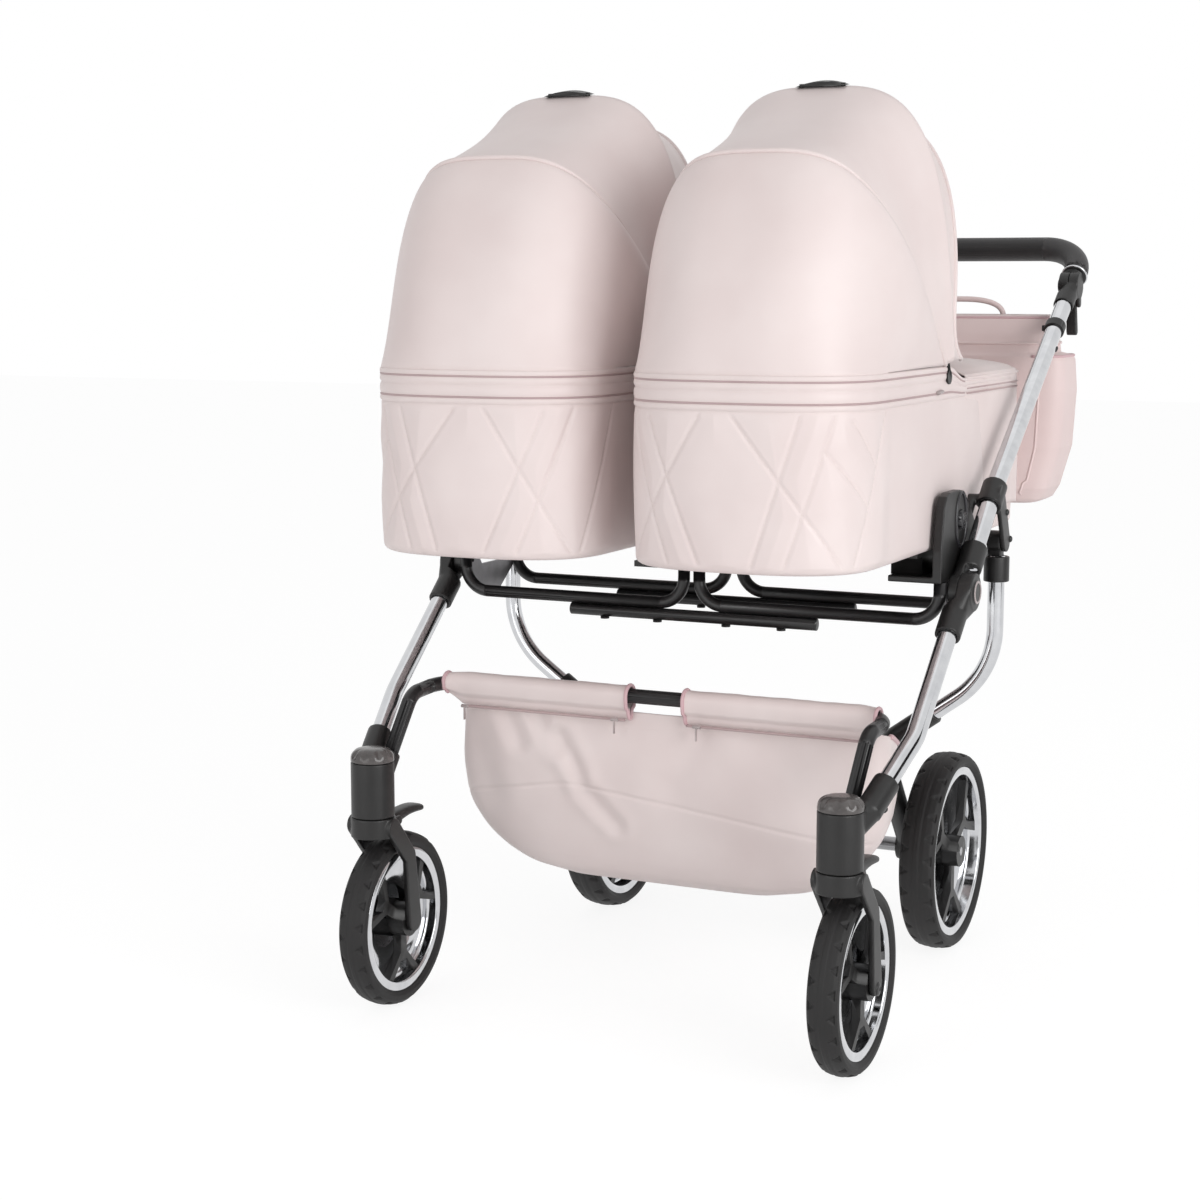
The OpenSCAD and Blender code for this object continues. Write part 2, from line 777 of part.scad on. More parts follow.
module fold_joint_sleeves() place() both() color(black) difference() {
    x1 = frame_x - gap / 2;
    union() {
        cross_rod(x1 - eye_w, x1, fold_y, fold_z, eye_r, 64);
        hull() {
            cross_rod(x1 - eye_w + web_inset, x1 - web_inset, fold_y, fold_z, eye_r - sleeve_wall, 32);
            rod(
                fold_pt + (neck_start + web_inset) * slope_dir,
                fold_pt + (neck_start + sleeve_wall) * slope_dir,
                sleeve_r - web_inset, 32
            );
        }
        rod(fold_pt + neck_start * slope_dir, fold_pt + neck_end * slope_dir, sleeve_r);
    }
    rod(fold_pt + neck_start * slope_dir, fold_pt + (neck_end + overrun) * slope_dir, tube_r + push_fit);
    cross_rod(x1 - eye_w - overrun, x1 + overrun, fold_y, fold_z, fold_pin_r + run_fit);
    cross_rod(x1, x1 + 2 * cover_w, fold_y, fold_z, neck_start - gap);
}

module leg_brackets() place() both() color(black) difference() {
    mid = fold_pt + (bracket_start + bracket_end) / 2 * slope_dir;
    x0 = frame_x + arm_in;
    lug_x = adaptor_x + adaptor_t / 2;
    lug_r = adaptor_t / 2 - gap;
    edge = [
        for (k = [3, 4])
            [lug_x, adaptor_y0 + adaptor_shares[k].x * adaptor_l, ledge_z + adaptor_shares[k].y * adaptor_h]
    ];
    edge_dir = unit(edge[0] - edge[1]);
    lug_dir = [0, -edge_dir.z, edge_dir.y];
    lug_seat = mix(edge[0], edge[1], lug_share) + gap * lug_dir;
    lug_root = lug_seat + lug_l * lug_dir;
    union() {
        rod(fold_pt + bracket_start * slope_dir, fold_pt + bracket_end * slope_dir, sleeve_r);
        hull() {
            cross_rod(x0, x0 + arm_t, mid.y, mid.z, arm_r, 32);
            cross_rod(x0, x0 + arm_t, rear_pivot_y, rear_pivot_z, arm_r, 32);
        }
        cross_rod(x0 - knuckle_w - gap, x0 + arm_t - web_inset, rear_pivot_y, rear_pivot_z, rear_pin_r);
        rod(lug_seat, lug_root, lug_r);
        cross_rod(lug_x - lug_r, frame_x, lug_root.y, lug_root.z, lug_r + bend_swell);
    }
    bent_rod([fold_pt + neck_start * slope_dir, handle_bend_pt, tilt_pt], [handle_bend_r], tube_r + push_fit);
}

module side_plates() place() both() color(steel) {
    y0 = cradle_front_y + cradle_r + gap;
    l = cradle_l - 2 * (cradle_r + gap);
    x1 = frame_x - sleeve_r - gap;
    translate([x1, y0, ledge_z - plate_h - gap]) rotate([90, 0, -90]) mirror([1, 0, 0])
        linear_extrude(plate_t) difference() {
            polygon([for (s = plate_shares) [s.x * l, s.y * plate_h]]);
            for (s = plate_hole_shares)
                translate([s * l, plate_h * (1 - s * s / 4) - plate_hole_drop])
                    circle(r = plate_hole_r, $fn = 32);
        }
}

module adaptor_tongue(x) translate([x - tongue_w / 2, cradle_y - tongue_l / 2, seat_z - overrun])
    cube([tongue_w, tongue_l, tongue_h + overrun]);

adaptor_x = cot_x + cot_w / 2 + cot_clear;
adaptor_t = frame_x - sleeve_r - gap - adaptor_x;
ledge_x = adaptor_x - ledge_w;
inner_ledge_x = riser_in_x - cradle_r;
inner_ledge_w = 2 * cot_x - ledge_x - inner_ledge_x;
tongue_x = (ledge_x + adaptor_x) / 2 - adaptor_t / 2;
button_y = adaptor_y0 + button_y_share * adaptor_l;
button_z = ledge_z + button_z_share * adaptor_h;

module outer_adaptors() place() both() color(black) difference() {
    union() {
        translate([adaptor_x, adaptor_y0, ledge_z]) rotate([90, 0, 90]) linear_extrude(adaptor_t)
            polygon([for (s = adaptor_shares) [s.x * adaptor_l, s.y * adaptor_h]]);
        translate([ledge_x, adaptor_y0, ledge_z]) cube([ledge_w + overrun, adaptor_l, ledge_t]);
        adaptor_tongue(tongue_x);
    }
    cross_rod(
        adaptor_x + adaptor_t - button_h - button_travel, adaptor_x + adaptor_t + overrun,
        button_y, button_z, button_r + gap
    );
}

module release_button(side) place() on_side(side) color(smoke) {
    x0 = adaptor_x + adaptor_t - button_h;
    cross_rod(x0, adaptor_x + adaptor_t + button_out, button_y, button_z, button_r);
}

module inner_adaptors() place() both() color(black) {
    translate([inner_ledge_x, adaptor_y0, ledge_z]) cube([inner_ledge_w, adaptor_l, ledge_t]);
    adaptor_tongue(2 * cot_x - tongue_x);
}

module cradle_tube(y) bent_rod([
    [riser_out_x, y, ledge_z], [riser_out_x, y, cradle_z], [riser_in_x, y, cradle_z], [riser_in_x, y, ledge_z]
], [riser_bend_r, riser_bend_r], cradle_r);

module cradle_tubes() place() both() color(black) {
    cradle_tube(cradle_front_y);
    cradle_tube(cradle_back_y);
}

splice_z = cradle_z - cradle_d;

module splice_tubes() place() color(black)
    for (y = [cradle_front_y, cradle_back_y]) difference() {
        cross_rod(-splice_l / 2, splice_l / 2, y, splice_z, cradle_r);
        for (s = bolt_spread_shares) translate([s * splice_l, y, splice_z - cradle_d])
            cylinder(h = 2 * cradle_d, r = bolt_r + push_fit, $fn = 32);
    }

module cradle_bolts() place() color(black)
    for (y = [cradle_front_y, cradle_back_y], s = bolt_spread_shares) translate([s * splice_l, y, 0]) {
        translate([0, 0, splice_z - cradle_r - bolt_head_h]) {
            cylinder(h = bolt_head_h, r = bolt_head_r, $fn = 32);
            cylinder(h = bolt_head_h + cradle_d, r = bolt_r, $fn = 32);
        }
    }

// Handle

joint_in = frame_x - joint_w - gap / 2;
joint_out = frame_x + joint_w;
trigger_y = tilt_y + trigger_back;
trigger_z = tilt_z - trigger_drop;

module handle_joints() place() both() color(black) {
    tube_end = tilt_pt - handle_tube_stop * handle_dir;
    x0 = frame_x + gap / 2;
    difference() {
        union() {
            cross_rod(x0, joint_out, tilt_y, tilt_z, joint_r, 64);
            hull() {
                cross_rod(x0 + web_inset, joint_out - web_inset, tilt_y, tilt_z, joint_r - sleeve_wall, 32);
                rod(
                    tube_end - web_inset * handle_dir, tube_end - sleeve_wall * handle_dir,
                    tube_r + sleeve_wall / 2 - web_inset, 32
                );
            }
            rod(tube_end, tube_end - handle_tube_stop * handle_dir, tube_r + sleeve_wall / 2);
            hull() {
                cross_rod(joint_out - lug_t, joint_out - web_inset, tilt_y, tilt_z, joint_r / 2, 32);
                cross_rod(joint_out - lug_t, joint_out - web_inset, trigger_y, trigger_z, trigger_r, 32);
            }
        }
        rod(tube_end, tube_end - (handle_tube_stop + overrun) * handle_dir, tube_r + push_fit);
        cross_rod(joint_in - overrun, x0, tilt_y, tilt_z, joint_r + gap);
    }
    cross_rod(frame_x - tilt_pin_l, x0 + web_inset, tilt_y, tilt_z, tilt_pin_r);
    cross_rod(
        joint_out - lug_t - trigger_w - gap, joint_out - lug_t + web_inset,
        trigger_y, trigger_z, trigger_pin_r
    );
}

module fold_trigger(side) place() on_side(side) color(black) difference() {
    x1 = joint_out - lug_t - gap;
    union() {
        cross_rod(x1 - trigger_w, x1, trigger_y, trigger_z, trigger_r);
        hull() {
            cross_rod(x1 - trigger_w, x1, trigger_y, trigger_z, trigger_r / 2, 32);
            cross_rod(x1 - trigger_w, x1, trigger_y + trigger_back, trigger_z - trigger_l, trigger_r, 32);
        }
    }
    cross_rod(x1 - trigger_w - overrun, x1 + overrun, trigger_y, trigger_z, trigger_pin_r + run_fit);
}

module handle_arms() place() both() color(black) difference() {
    neck_end_pt = tilt_pt + arm_neck_l * grip_dir;
    union() {
        cross_rod(joint_in, frame_x - gap / 2, tilt_y, tilt_z, joint_r, 64);
        hull() {
            cross_rod(joint_in, frame_x - gap / 2, tilt_y, tilt_z, arm_neck_r, 32);
            rod(neck_end_pt - grip_dir * ring_l, neck_end_pt, arm_neck_r, 32);
        }
        rod(neck_end_pt - grip_dir * ring_l, neck_end_pt, grip_d / 2);
    }
    cross_rod(joint_in + push_recess, frame_x + overrun, tilt_y, tilt_z, tilt_pin_r + run_fit);
    cross_rod(joint_in - overrun, joint_in + push_recess, tilt_y, tilt_z, push_r + push_gap);
    cross_rod(frame_x - gap / 2, frame_x + 2 * joint_w, tilt_y, tilt_z, joint_r + gap);
}

module handle_button(side) place() on_side(side) color(smoke)
    cross_rod(joint_in - push_travel, joint_in - push_travel + push_h, tilt_y, tilt_z, push_r);

module handle_grip() place() color(black) {
    start = tilt_pt + (arm_neck_l + push_fit) * grip_dir;
    corner = tilt_pt + [0, grip_back, grip_up];
    bent_rod([start, corner, [-corner.x, corner.y, corner.z], [-start.x, start.y, start.z]],
        [grip_corner_r, grip_corner_r], grip_d / 2);
}

// Bag on the handle

function bag_ring(out_share, depth_share, z_share) = [
    for (k = [0:bag_points - 1])
        let (
            a = 360 * k / bag_points,
            end = pocket_out * out_share
        )
        [
            power_x(a, bag_power) * (bag_half + end),
            bag_y + power_y(a, bag_power) * bag_d / 2 * depth_share,
            bag_z - bag_h * (1 - z_share)
        ]
];

// Rings of the bag: shares of its end pockets' reach, its depth and its height
bag_shares = [
    [-0.9, 0.8, 0], [-0.3, 0.94, 0.02], [0.1, 1, 0.08], [0.8, 1, 0.3], [1, 0.98, 0.6], [0.8, 0.92, 0.78],
    [-0.05, 0.86, 0.84], [-0.1, 0.7, 0.97], [-0.5, 0.5, 1]
];

module bag() place() color(bag_pink) {
    loft([for (s = bag_shares) bag_ring(s.x, s.y, s.z)]);
    for (s = [-1, 1]) translate([s * loop_x_share * bag_w, bag_y, bag_z]) bent_rod([
        [-loop_w / 2, 0, -loop_r], [-loop_w / 2, 0, loop_h], [loop_w / 2, 0, loop_h], [loop_w / 2, 0, -loop_r]
    ], [loop_bend_r, loop_bend_r], loop_r);
}

module bag_hooks() place() both() color(black) difference() {
    mid = tilt_pt - hook_at * handle_dir;
    union() {
        rod(mid - hook_l / 2 * handle_dir, mid + hook_l / 2 * handle_dir, hook_r);
        translate([bag_half - hook_tab_share * pocket_out + gap, mid.y, mid.z - hook_tab_w / 2])
            cube([hook_tab_t, bag_y - mid.y, hook_tab_w]);
    }
    rod(mid - hook_l * handle_dir, mid + (hook_at - overrun) * handle_dir, tube_r + push_fit);
}

// Rear legs and axle

module rear_legs() place() both() color(chrome)
    bent_rod([rear_pivot - [0, 0, knuckle_drop], rear_corner, rear_foot], [rear_bend_r], rear_tube_r);

module rear_arm(r) {
    start = rear_foot - rear_arm_lap * rear_dir;
    elbow = rear_foot + rear_arm_run * rear_dir;
    bent_rod([start, elbow, [axle_block_x + axle_block_w / 2, rear_hub.y, rear_hub.z]], [rear_arm_bend_r], r);
}

module rear_leg_sleeves() place() both() color(black) {
    top = rear_pivot - [0, 0, knuckle_drop];
    x1 = frame_x + arm_in - gap;
    difference() {
        union() {
            cross_rod(x1 - knuckle_w, x1, rear_pivot_y, rear_pivot_z, arm_r);
            translate([x1 - knuckle_w, rear_pivot_y - knuckle_neck / 2, top.z - overrun])
                cube([knuckle_w, knuckle_neck, knuckle_drop + overrun]);
            translate(top - [0, 0, knuckle_sleeve_l])
                cylinder(h = knuckle_sleeve_l, r = rear_sleeve_r, $fn = 48);
        }
        cross_rod(x1 - knuckle_w - overrun, x1 + overrun, rear_pivot_y, rear_pivot_z, rear_pin_r + run_fit);
        translate(top - [0, 0, knuckle_sleeve_l + overrun])
            cylinder(h = knuckle_sleeve_l + overrun, r = rear_tube_r + push_fit, $fn = 48);
    }
    difference() {
        union() {
            rear_arm(rear_arm_r);
            cross_rod(axle_block_x, axle_block_x + axle_block_w, rear_hub.y, rear_hub.z, axle_block_r);
        }
        rod(rear_foot - (rear_arm_lap + overrun) * rear_dir, rear_foot, rear_tube_r + push_fit);
        cross_rod(
            axle_block_x - overrun, axle_block_x + axle_block_w + overrun,
            rear_hub.y, rear_hub.z, axle_tube_r + push_fit
        );
    }
}

module rear_axle() place() color(steel) {
    collar_x = rear_wheel_in - gap - axle_collar_w;
    cross_rod(-collar_x, collar_x, rear_hub.y, rear_hub.z, axle_tube_r);
    both() {
        cross_rod(collar_x, collar_x + axle_collar_w, rear_hub.y, rear_hub.z, axle_collar_r);
        cross_rod(0, rear_hub.x + rear_tyre_w / 2, rear_hub.y, rear_hub.z, axle_pin_r);
    }
}

module brake_pedal() place() color(black) difference() {
    union() {
        cross_rod(-pedal_w / 2, pedal_w / 2, rear_hub.y, rear_hub.z, pedal_barrel_r);
        translate([0, rear_hub.y, rear_hub.z]) rotate([pedal_angle, 0, 0]) hull() {
            cross_rod(-pedal_w / 4, pedal_w / 4, 0, 0, pedal_t / 2, 32);
            cross_rod(-pedal_w / 2, pedal_w / 2, pedal_l, 0, pedal_t / 2, 32);
        }
    }
    cross_rod(-pedal_w, pedal_w, rear_hub.y, rear_hub.z, axle_tube_r + run_fit);
}

// Carrycots

module at_cot(side) place() translate([side * cot_x, 0, 0]) children();

// Outline of a carrycot: w is its full width, grow moves the outline outwards
function cot_outline(w, grow, z) = [
    for (k = [0:cot_points - 1])
        let (
            a = 360 * (k + 0.5) / cot_points,
            back = sin(a) > 0,
            p = back ? back_power : front_power,
            depth = (back ? back_depth : front_depth) + grow,
            mid = back ? cot_back_y - back_depth : front_depth - cot_front
        )
        [power_x(a, p) * (w / 2 + grow), mid + power_y(a, p) * depth, z]
];

function cot_w_at(z) = mix(base_w, cot_w, (z - cot_z) / cot_h);
function cot_ring(z, grow) = cot_outline(cot_w_at(z), grow, z);

module tub(side) at_cot(side) color(pink) difference() {
    loft([
        cot_ring(cot_z, -cot_edge), cot_ring(cot_z + cot_edge / 3, -cot_edge / 3),
        cot_ring(cot_z + cot_edge, 0),
        cot_ring(rim_z, 0), cot_ring(rim_z, -cot_wall), cot_ring(cot_z + cot_floor, -cot_wall)
    ]);
    cross_rod(-cot_w, cot_w, hood_pivot_y, hood_pivot_z, hood_pin_r + run_fit);
}

module cot_base(side) at_cot(side) color(black) difference() {
    x0 = ledge_x - cot_x;
    x1 = base_w / 2 - cot_edge;
    y0 = cradle_y - cradle_l / 2;
    union() {
        translate([-x1, y0 - base_margin, cot_z - gap - base_t])
            cube([2 * x1, cradle_l + 2 * base_margin, base_t]);
        both() translate([x0, y0, seat_z + gap]) cube([x1 - x0, cradle_l, cot_z - gap - seat_z - gap]);
    }
    pocket = [tongue_x - cot_x - tongue_w / 2, cradle_y - tongue_l / 2, seat_z - overrun];
    both() translate(pocket - [tongue_gap, tongue_gap, 0])
        cube([tongue_w + 2 * tongue_gap, tongue_l + 2 * tongue_gap, tongue_h + overrun + 2 * gap]);
}

function pad_ring(rise, inset) =
    cot_outline(base_w, -cot_wall - mattress_gap - inset, cot_z + cot_floor + gap + rise);

module mattress(side) at_cot(side) color("white") {
    edge = mattress_h / 4;
    loft([
        pad_ring(0, edge), pad_ring(edge / 2, edge / 4), pad_ring(mattress_h / 2, 0),
        pad_ring(mattress_h - edge / 2, edge / 4), pad_ring(mattress_h, edge + mattress_pull),
        pad_ring(mattress_h + mattress_crown / 2, edge + base_w / 8),
        pad_ring(mattress_h + mattress_crown, base_w / 3)
    ]);
}

// Apron outline: the back of the carrycot, closed by a straight front edge
function apron_loop(grow, inset, drop, z) = let (
        w = cot_w_at(rim_z - drop) / 2 + grow,
        brim = cot_w / 2 + grow,
        round = [
            for (k = [0:apron_points])
                let (a = 180 * k / apron_points)
                [
                    power_x(a, back_power) * w,
                    cot_back_y - back_depth + power_y(a, back_power) * (back_depth + grow),
                    drop
                ]
        ],
        skirt = concat([[w, apron_y + apron_slant, drop]], round, [[-w, apron_y + apron_slant, drop]]),
        hem = [for (s = [-1, -1 / 3, 1 / 3, 1]) [s * brim, apron_y - grow, 0]],
        mid = [0, (apron_y + cot_back_y) / 2, z]
    )
    [for (p = concat(skirt, hem)) mix([p.x, p.y, z - p.z], mid, inset)];

// Lid of the apron: insets and heights of its rings, as shares of the half size and the crown
apron_lid_shares = [[0.6, 1], [0.2, 0.7], [0.04, 0.3]];

module apron(side) at_cot(side) color(pink) {
    low = rim_z + apron_gap;
    top = low + apron_t;
    o = apron_gap + apron_t;
    lid_n = len(apron_lid_shares) - 1;
    loft(concat(
        [for (s = apron_lid_shares) apron_loop(apron_gap, s.x, 0, low + s.y * apron_crown)],
        [apron_loop(apron_gap, 0, 0, low + apron_t / 2), apron_loop(apron_gap, 0, apron_drop, low)],
        [apron_loop(o, 0, apron_drop, low), apron_loop(o, 0, 0, top)],
        [
            for (k = [lid_n:-1:0])
                let (s = apron_lid_shares[k])
                apron_loop(o, s.x, 0, top + s.y * apron_crown)
        ]
    ));
}

// One arch of the hood in a plane through its pivot: angle leans it to the front
function hood_arch(angle, r, half_w, power, thin) = let (
        a0 = asin(pow(hood_foot / r, power / 2)),
        flare = angle < 0 ? mouth_flare : 0
    )
    [
        for (j = [0:hood_cols])
            let (
                a = mix(a0, 180 - a0, j / hood_cols),
                h = power_y(a, power) * (r - thin)
            )
            [
                power_x(a, power) * (half_w - thin),
                hood_pivot_y - h * sin(angle) + flare * pow(1 - h / r, mouth_flare_power),
                hood_pivot_z + h * cos(angle)
            ]
    ];

// The hood's three bows, from its back arch over the top bow to its mouth
function hood_curve(k, thin) = hood_arch(
    [arch_angle, top_angle, mouth_angle][k],
    hood_r * [arch_r_share, 1, mouth_r_share][k],
    hood_full_w * [arch_w_share, 1 / 2, mouth_w_share][k],
    [arch_power, top_power, mouth_power][k],
    thin
);

// A row of the cloth that is drawn tight over the bows: s runs from 0 at the arch to 2 at the mouth
function roof_row(s, thin) = let (
        k = s < 1 ? 0 : 1,
        from = hood_curve(k, thin),
        to = hood_curve(k + 1, thin)
    )
    [for (j = [0:hood_cols]) mix(from[j], to[j], s - k)];

module hood_roof(side) color(pink) difference() {
    at_cot(side) sheet(
        [for (i = [0:hood_rows]) roof_row(2 * i / hood_rows, 0)],
        [for (i = [0:hood_rows]) roof_row(2 * i / hood_rows, hood_t)]
    );
    at_bow_top(side) carry_pins(carry_pin_r + push_fit);
}

// Back panel: from the hood's back arch down to the front of the carrycot's rim
function back_foot(j, thin) = let (
        a = mix(0, 180, j / hood_cols),
        side_y = hood_pivot_y - hood_foot * sin(arch_angle) - gap,
        mid = front_depth - cot_front,
        reach = abs(cos(a)),
        side = max(0, (reach - cos(30)) / (1 - cos(30))),
        b = mix(0, 180, max(0, min(1, (j / hood_cols - 1 / 8) * 4 / 3)))
    )
    [
        side > 0 ? sign(cos(a)) * (cot_w / 2 - thin) : power_x(b, front_power) * (cot_w / 2 - thin),
        side > 0 ? mix(mid, side_y, side) : mid - power_y(b, front_power) * (front_depth - thin),
        rim_z + gap
    ];

function back_row(s, thin) = let (
        arch = hood_curve(0, thin)
    )
    [
        for (j = [0:hood_cols])
            let (
                swell = back_bulge * sin(180 * s) * sin(180 * j / hood_cols),
                p = mix(arch[j] + [0, -gap, 0], back_foot(j, thin), s)
            )
            p + [side_bulge * sin(180 * sqrt(s)) * sin(360 * j / hood_cols), -swell, swell / 3]
    ];

module hood_back(side) at_cot(side) color(pink) sheet(
    [for (i = [0:hood_rows]) back_row(i / hood_rows, 0)],
    [for (i = [0:hood_rows]) back_row(i / hood_rows, hood_t)]
);

module at_bow_top(side) at_cot(side) translate([0, hood_pivot_y, hood_pivot_z]) rotate([top_angle, 0, 0])
    translate([0, 0, hood_r + gap]) children();

module carry_pins(r) for (s = [-1, 1])
    translate([s * carry_pin_share * carry_w, 0, -carry_pin_l])
        cylinder(h = carry_pin_l + carry_t / 2, r = r, $fn = 32);

module hood_bow(side) {
    at_cot(side) color(black) {
        half = hood_full_w / 2 - hood_t - gap - bow_sink / 2;
        r = hood_r - hood_t - gap - bow_sink;
        angles = [top_angle + bow_w_angle / 2, top_angle - bow_w_angle / 2];
        sheet(
            [for (a = angles) hood_arch(a, r, half, top_power, 0)],
            [for (a = angles) hood_arch(a, r, half, top_power, bow_t)]
        );
        disc_x = cot_w / 2 + gap;
        link_h = 2 * hood_foot;
        both() {
            cross_rod(disc_x, disc_x + hood_disc_t, hood_pivot_y, hood_pivot_z, hood_disc_r);
            cross_rod(cot_w / 2 - cot_wall, disc_x + hood_disc_t, hood_pivot_y, hood_pivot_z, hood_pin_r);
            hull() {
                cross_rod(disc_x, disc_x + hood_disc_t, hood_pivot_y, hood_pivot_z, hood_link_r, 32);
                translate([0, hood_pivot_y - link_h * sin(top_angle), hood_pivot_z + link_h * cos(top_angle)])
                    cross_rod(disc_x, half - bow_t / 2, 0, 0, bow_t / 2, 32);
            }
        }
    }
    color(black) at_bow_top(side) {
        intersection() {
            translate([-carry_w / 2, -carry_depth / 2, 0]) cube([carry_w, carry_depth, carry_t]);
            translate([0, carry_depth, carry_t - carry_w]) rotate([90, 0, 0])
                cylinder(h = 2 * carry_depth, r = carry_w, $fn = 96);
        }
        carry_pins(carry_pin_r);
    }
}

handle_tubes();
handle_joints();
fold_joint_sleeves();
leg_brackets();
side_plates();
outer_adaptors();
inner_adaptors();
cradle_tubes();
splice_tubes();
cradle_bolts();
bag();
bag_hooks();
handle_arms();
handle_grip();
handle_button(-1);  // handle_button_left
handle_button(1);  // handle_button_right
fold_trigger(-1);  // fold_trigger_left
fold_trigger(1);  // fold_trigger_right
release_button(-1);  // release_button_left
release_button(1);  // release_button_right
front_legs();
fold_joint_covers();
caster_sockets();
caster_caps();
basket_bar();
basket();
fork(-1);  // fork_left
fork(1);  // fork_right
lock_lever(-1);  // lock_lever_left
lock_lever(1);  // lock_lever_right
front_tyre(-1);  // front_tyre_left
front_rim(-1);  // front_rim_left
front_spider(-1);  // front_spider_left
front_tyre(1);  // front_tyre_right
front_rim(1);  // front_rim_right
front_spider(1);  // front_spider_right
rear_tyre(-1);  // rear_tyre_left
rear_rim(-1);  // rear_rim_left
rear_spider(-1);  // rear_spider_left
rear_tyre(1);  // rear_tyre_right
rear_rim(1);  // rear_rim_right
rear_spider(1);  // rear_spider_right
rear_legs();
rear_leg_sleeves();
rear_axle();
brake_pedal();
tub(-1);  // tub_left
cot_base(-1);  // cot_base_left
mattress(-1);  // mattress_left
apron(-1);  // apron_left
hood_back(-1);  // hood_back_left
hood_roof(-1);  // hood_roof_left
hood_bow(-1);  // hood_bow_left
tub(1);  // tub_right
cot_base(1);  // cot_base_right
mattress(1);  // mattress_right
apron(1);  // apron_right
hood_back(1);  // hood_back_right
hood_roof(1);  // hood_roof_right
hood_bow(1);  // hood_bow_right
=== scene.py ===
# %% [markdown]
# # A twin pram, dressed
# The frame of this pram comes as finished CAD: tubes, joints, wheels and plain solids for the soft goods.
# This lesson gives it its looks. Metal and plastic get better finishes, and each soft good is sewn anew
# over the space that its CAD solid holds, so that everything still moves as the CAD says.

# %% Load the frame
import json
import math

import bpy
import numpy as np
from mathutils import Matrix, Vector
from mathutils.bvhtree import BVHTree


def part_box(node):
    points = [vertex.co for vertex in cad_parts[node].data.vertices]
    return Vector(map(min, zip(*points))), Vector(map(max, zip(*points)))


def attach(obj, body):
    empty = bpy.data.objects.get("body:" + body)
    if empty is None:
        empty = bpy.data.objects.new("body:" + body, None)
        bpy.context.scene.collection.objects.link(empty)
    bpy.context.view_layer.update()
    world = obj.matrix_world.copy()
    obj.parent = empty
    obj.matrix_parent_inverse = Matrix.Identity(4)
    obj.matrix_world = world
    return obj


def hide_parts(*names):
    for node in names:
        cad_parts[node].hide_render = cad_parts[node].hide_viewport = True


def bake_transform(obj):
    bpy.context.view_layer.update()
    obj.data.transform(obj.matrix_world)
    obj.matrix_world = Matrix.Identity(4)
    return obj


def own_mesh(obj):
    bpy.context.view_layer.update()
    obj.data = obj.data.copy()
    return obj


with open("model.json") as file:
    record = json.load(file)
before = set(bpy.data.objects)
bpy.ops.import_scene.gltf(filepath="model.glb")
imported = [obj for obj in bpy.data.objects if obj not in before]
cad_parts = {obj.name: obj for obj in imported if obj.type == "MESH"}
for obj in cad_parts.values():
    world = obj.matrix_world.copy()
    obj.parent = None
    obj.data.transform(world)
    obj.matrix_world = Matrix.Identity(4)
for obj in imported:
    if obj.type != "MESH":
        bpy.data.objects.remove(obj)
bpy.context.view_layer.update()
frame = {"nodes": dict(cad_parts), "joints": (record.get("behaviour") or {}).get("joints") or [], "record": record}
nodes = frame["nodes"]
slot_of = {part["node"]: part["material_slot"] for part in frame["record"]["subparts"]}
body_of = {node: body for body, group in frame["record"]["behaviour"]["bodies"].items() for node in group}
SIDES = {"left": -1, "right": 1}
WHEELS = [(end, side) for end in ("front", "rear") for side in SIDES]


def into_scene(name, data):
    thing = bpy.data.objects.new(name, data)
    bpy.context.scene.collection.objects.link(thing)
    return thing


# %% [markdown]
# ## Where things are
# A sewer works in millimetres, and a pram maker counts lengths from the front axle. So the shapes below are
# worked out in millimetres from the front hubs, and one function brings them to metres in the frame.

# %% Millimetres from the front hubs
MM = 0.001
wheel_lo, wheel_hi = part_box("front_rim_right")
HUB_Y = (wheel_lo.y + wheel_hi.y) / 2


def to_frame(points):
    return np.asarray(points, float) * MM + np.array([0, HUB_Y, 0])


def box_mm(node):
    return [(np.array(corner) - np.array([0, HUB_Y, 0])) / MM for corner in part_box(node)]


def joint_of(name):
    return next(joint for joint in frame["joints"] if joint["name"] == name)


def joint_mm(name):
    return (np.array(joint_of(name)["pos_m"]) - np.array([0, HUB_Y, 0])) / MM


tub_lo, tub_hi = box_mm("tub_right")
COT_X = (tub_lo[0] + tub_hi[0]) / 2
COT_W = tub_hi[0] - tub_lo[0]
COT_FRONT, COT_BACK = tub_lo[1], tub_hi[1]
COT_Z, RIM_Z = tub_lo[2], tub_hi[2]
PIVOT_Y, PIVOT_Z = joint_mm("hood_right_fold")[1:]


def mirror_x(points, side):
    return np.asarray(points, float) * np.array([side, 1, 1])


def at_cot(points, sign):
    return mirror_x(points, sign) + np.array([sign * COT_X, 0, 0])


print("carrycot", round(COT_W), "wide, from", round(COT_FRONT), "to", round(COT_BACK), "mm, rim at", round(RIM_Z))

# %% [markdown]
# ## Camera
# The photographer stood in front of the pram, a little to its right, with a short tele lens at the height
# of the hoods. The camera takes that place, so that the render can be laid beside the photograph.

# %% Camera
camera = into_scene("camera", bpy.data.cameras.new("camera"))
camera.location = (1.17888, -2.88505, 0.94738)
camera.rotation_euler = (math.radians(81.95), 0, math.radians(25.539))
camera.data.lens = 68.115
camera.data.sensor_width = 36
bpy.context.scene.camera = camera
print("camera", round(camera.location.length, 2), "m from the origin")

# %% [markdown]
# ## Finishes
# A finish starts from what the real surface is and how it was made. One small function adds a node, and
# another turns the sRGB colours that one reads off a screen into the linear ones that the shader needs.

# %% Helpers for finishes
def linear(code):
    parts = [int(code[i:i + 2], 16) / 255 for i in (1, 3, 5)]
    return [p / 12.92 if p <= 0.04045 else ((p + 0.055) / 1.055) ** 2.4 for p in parts] + [1.0]


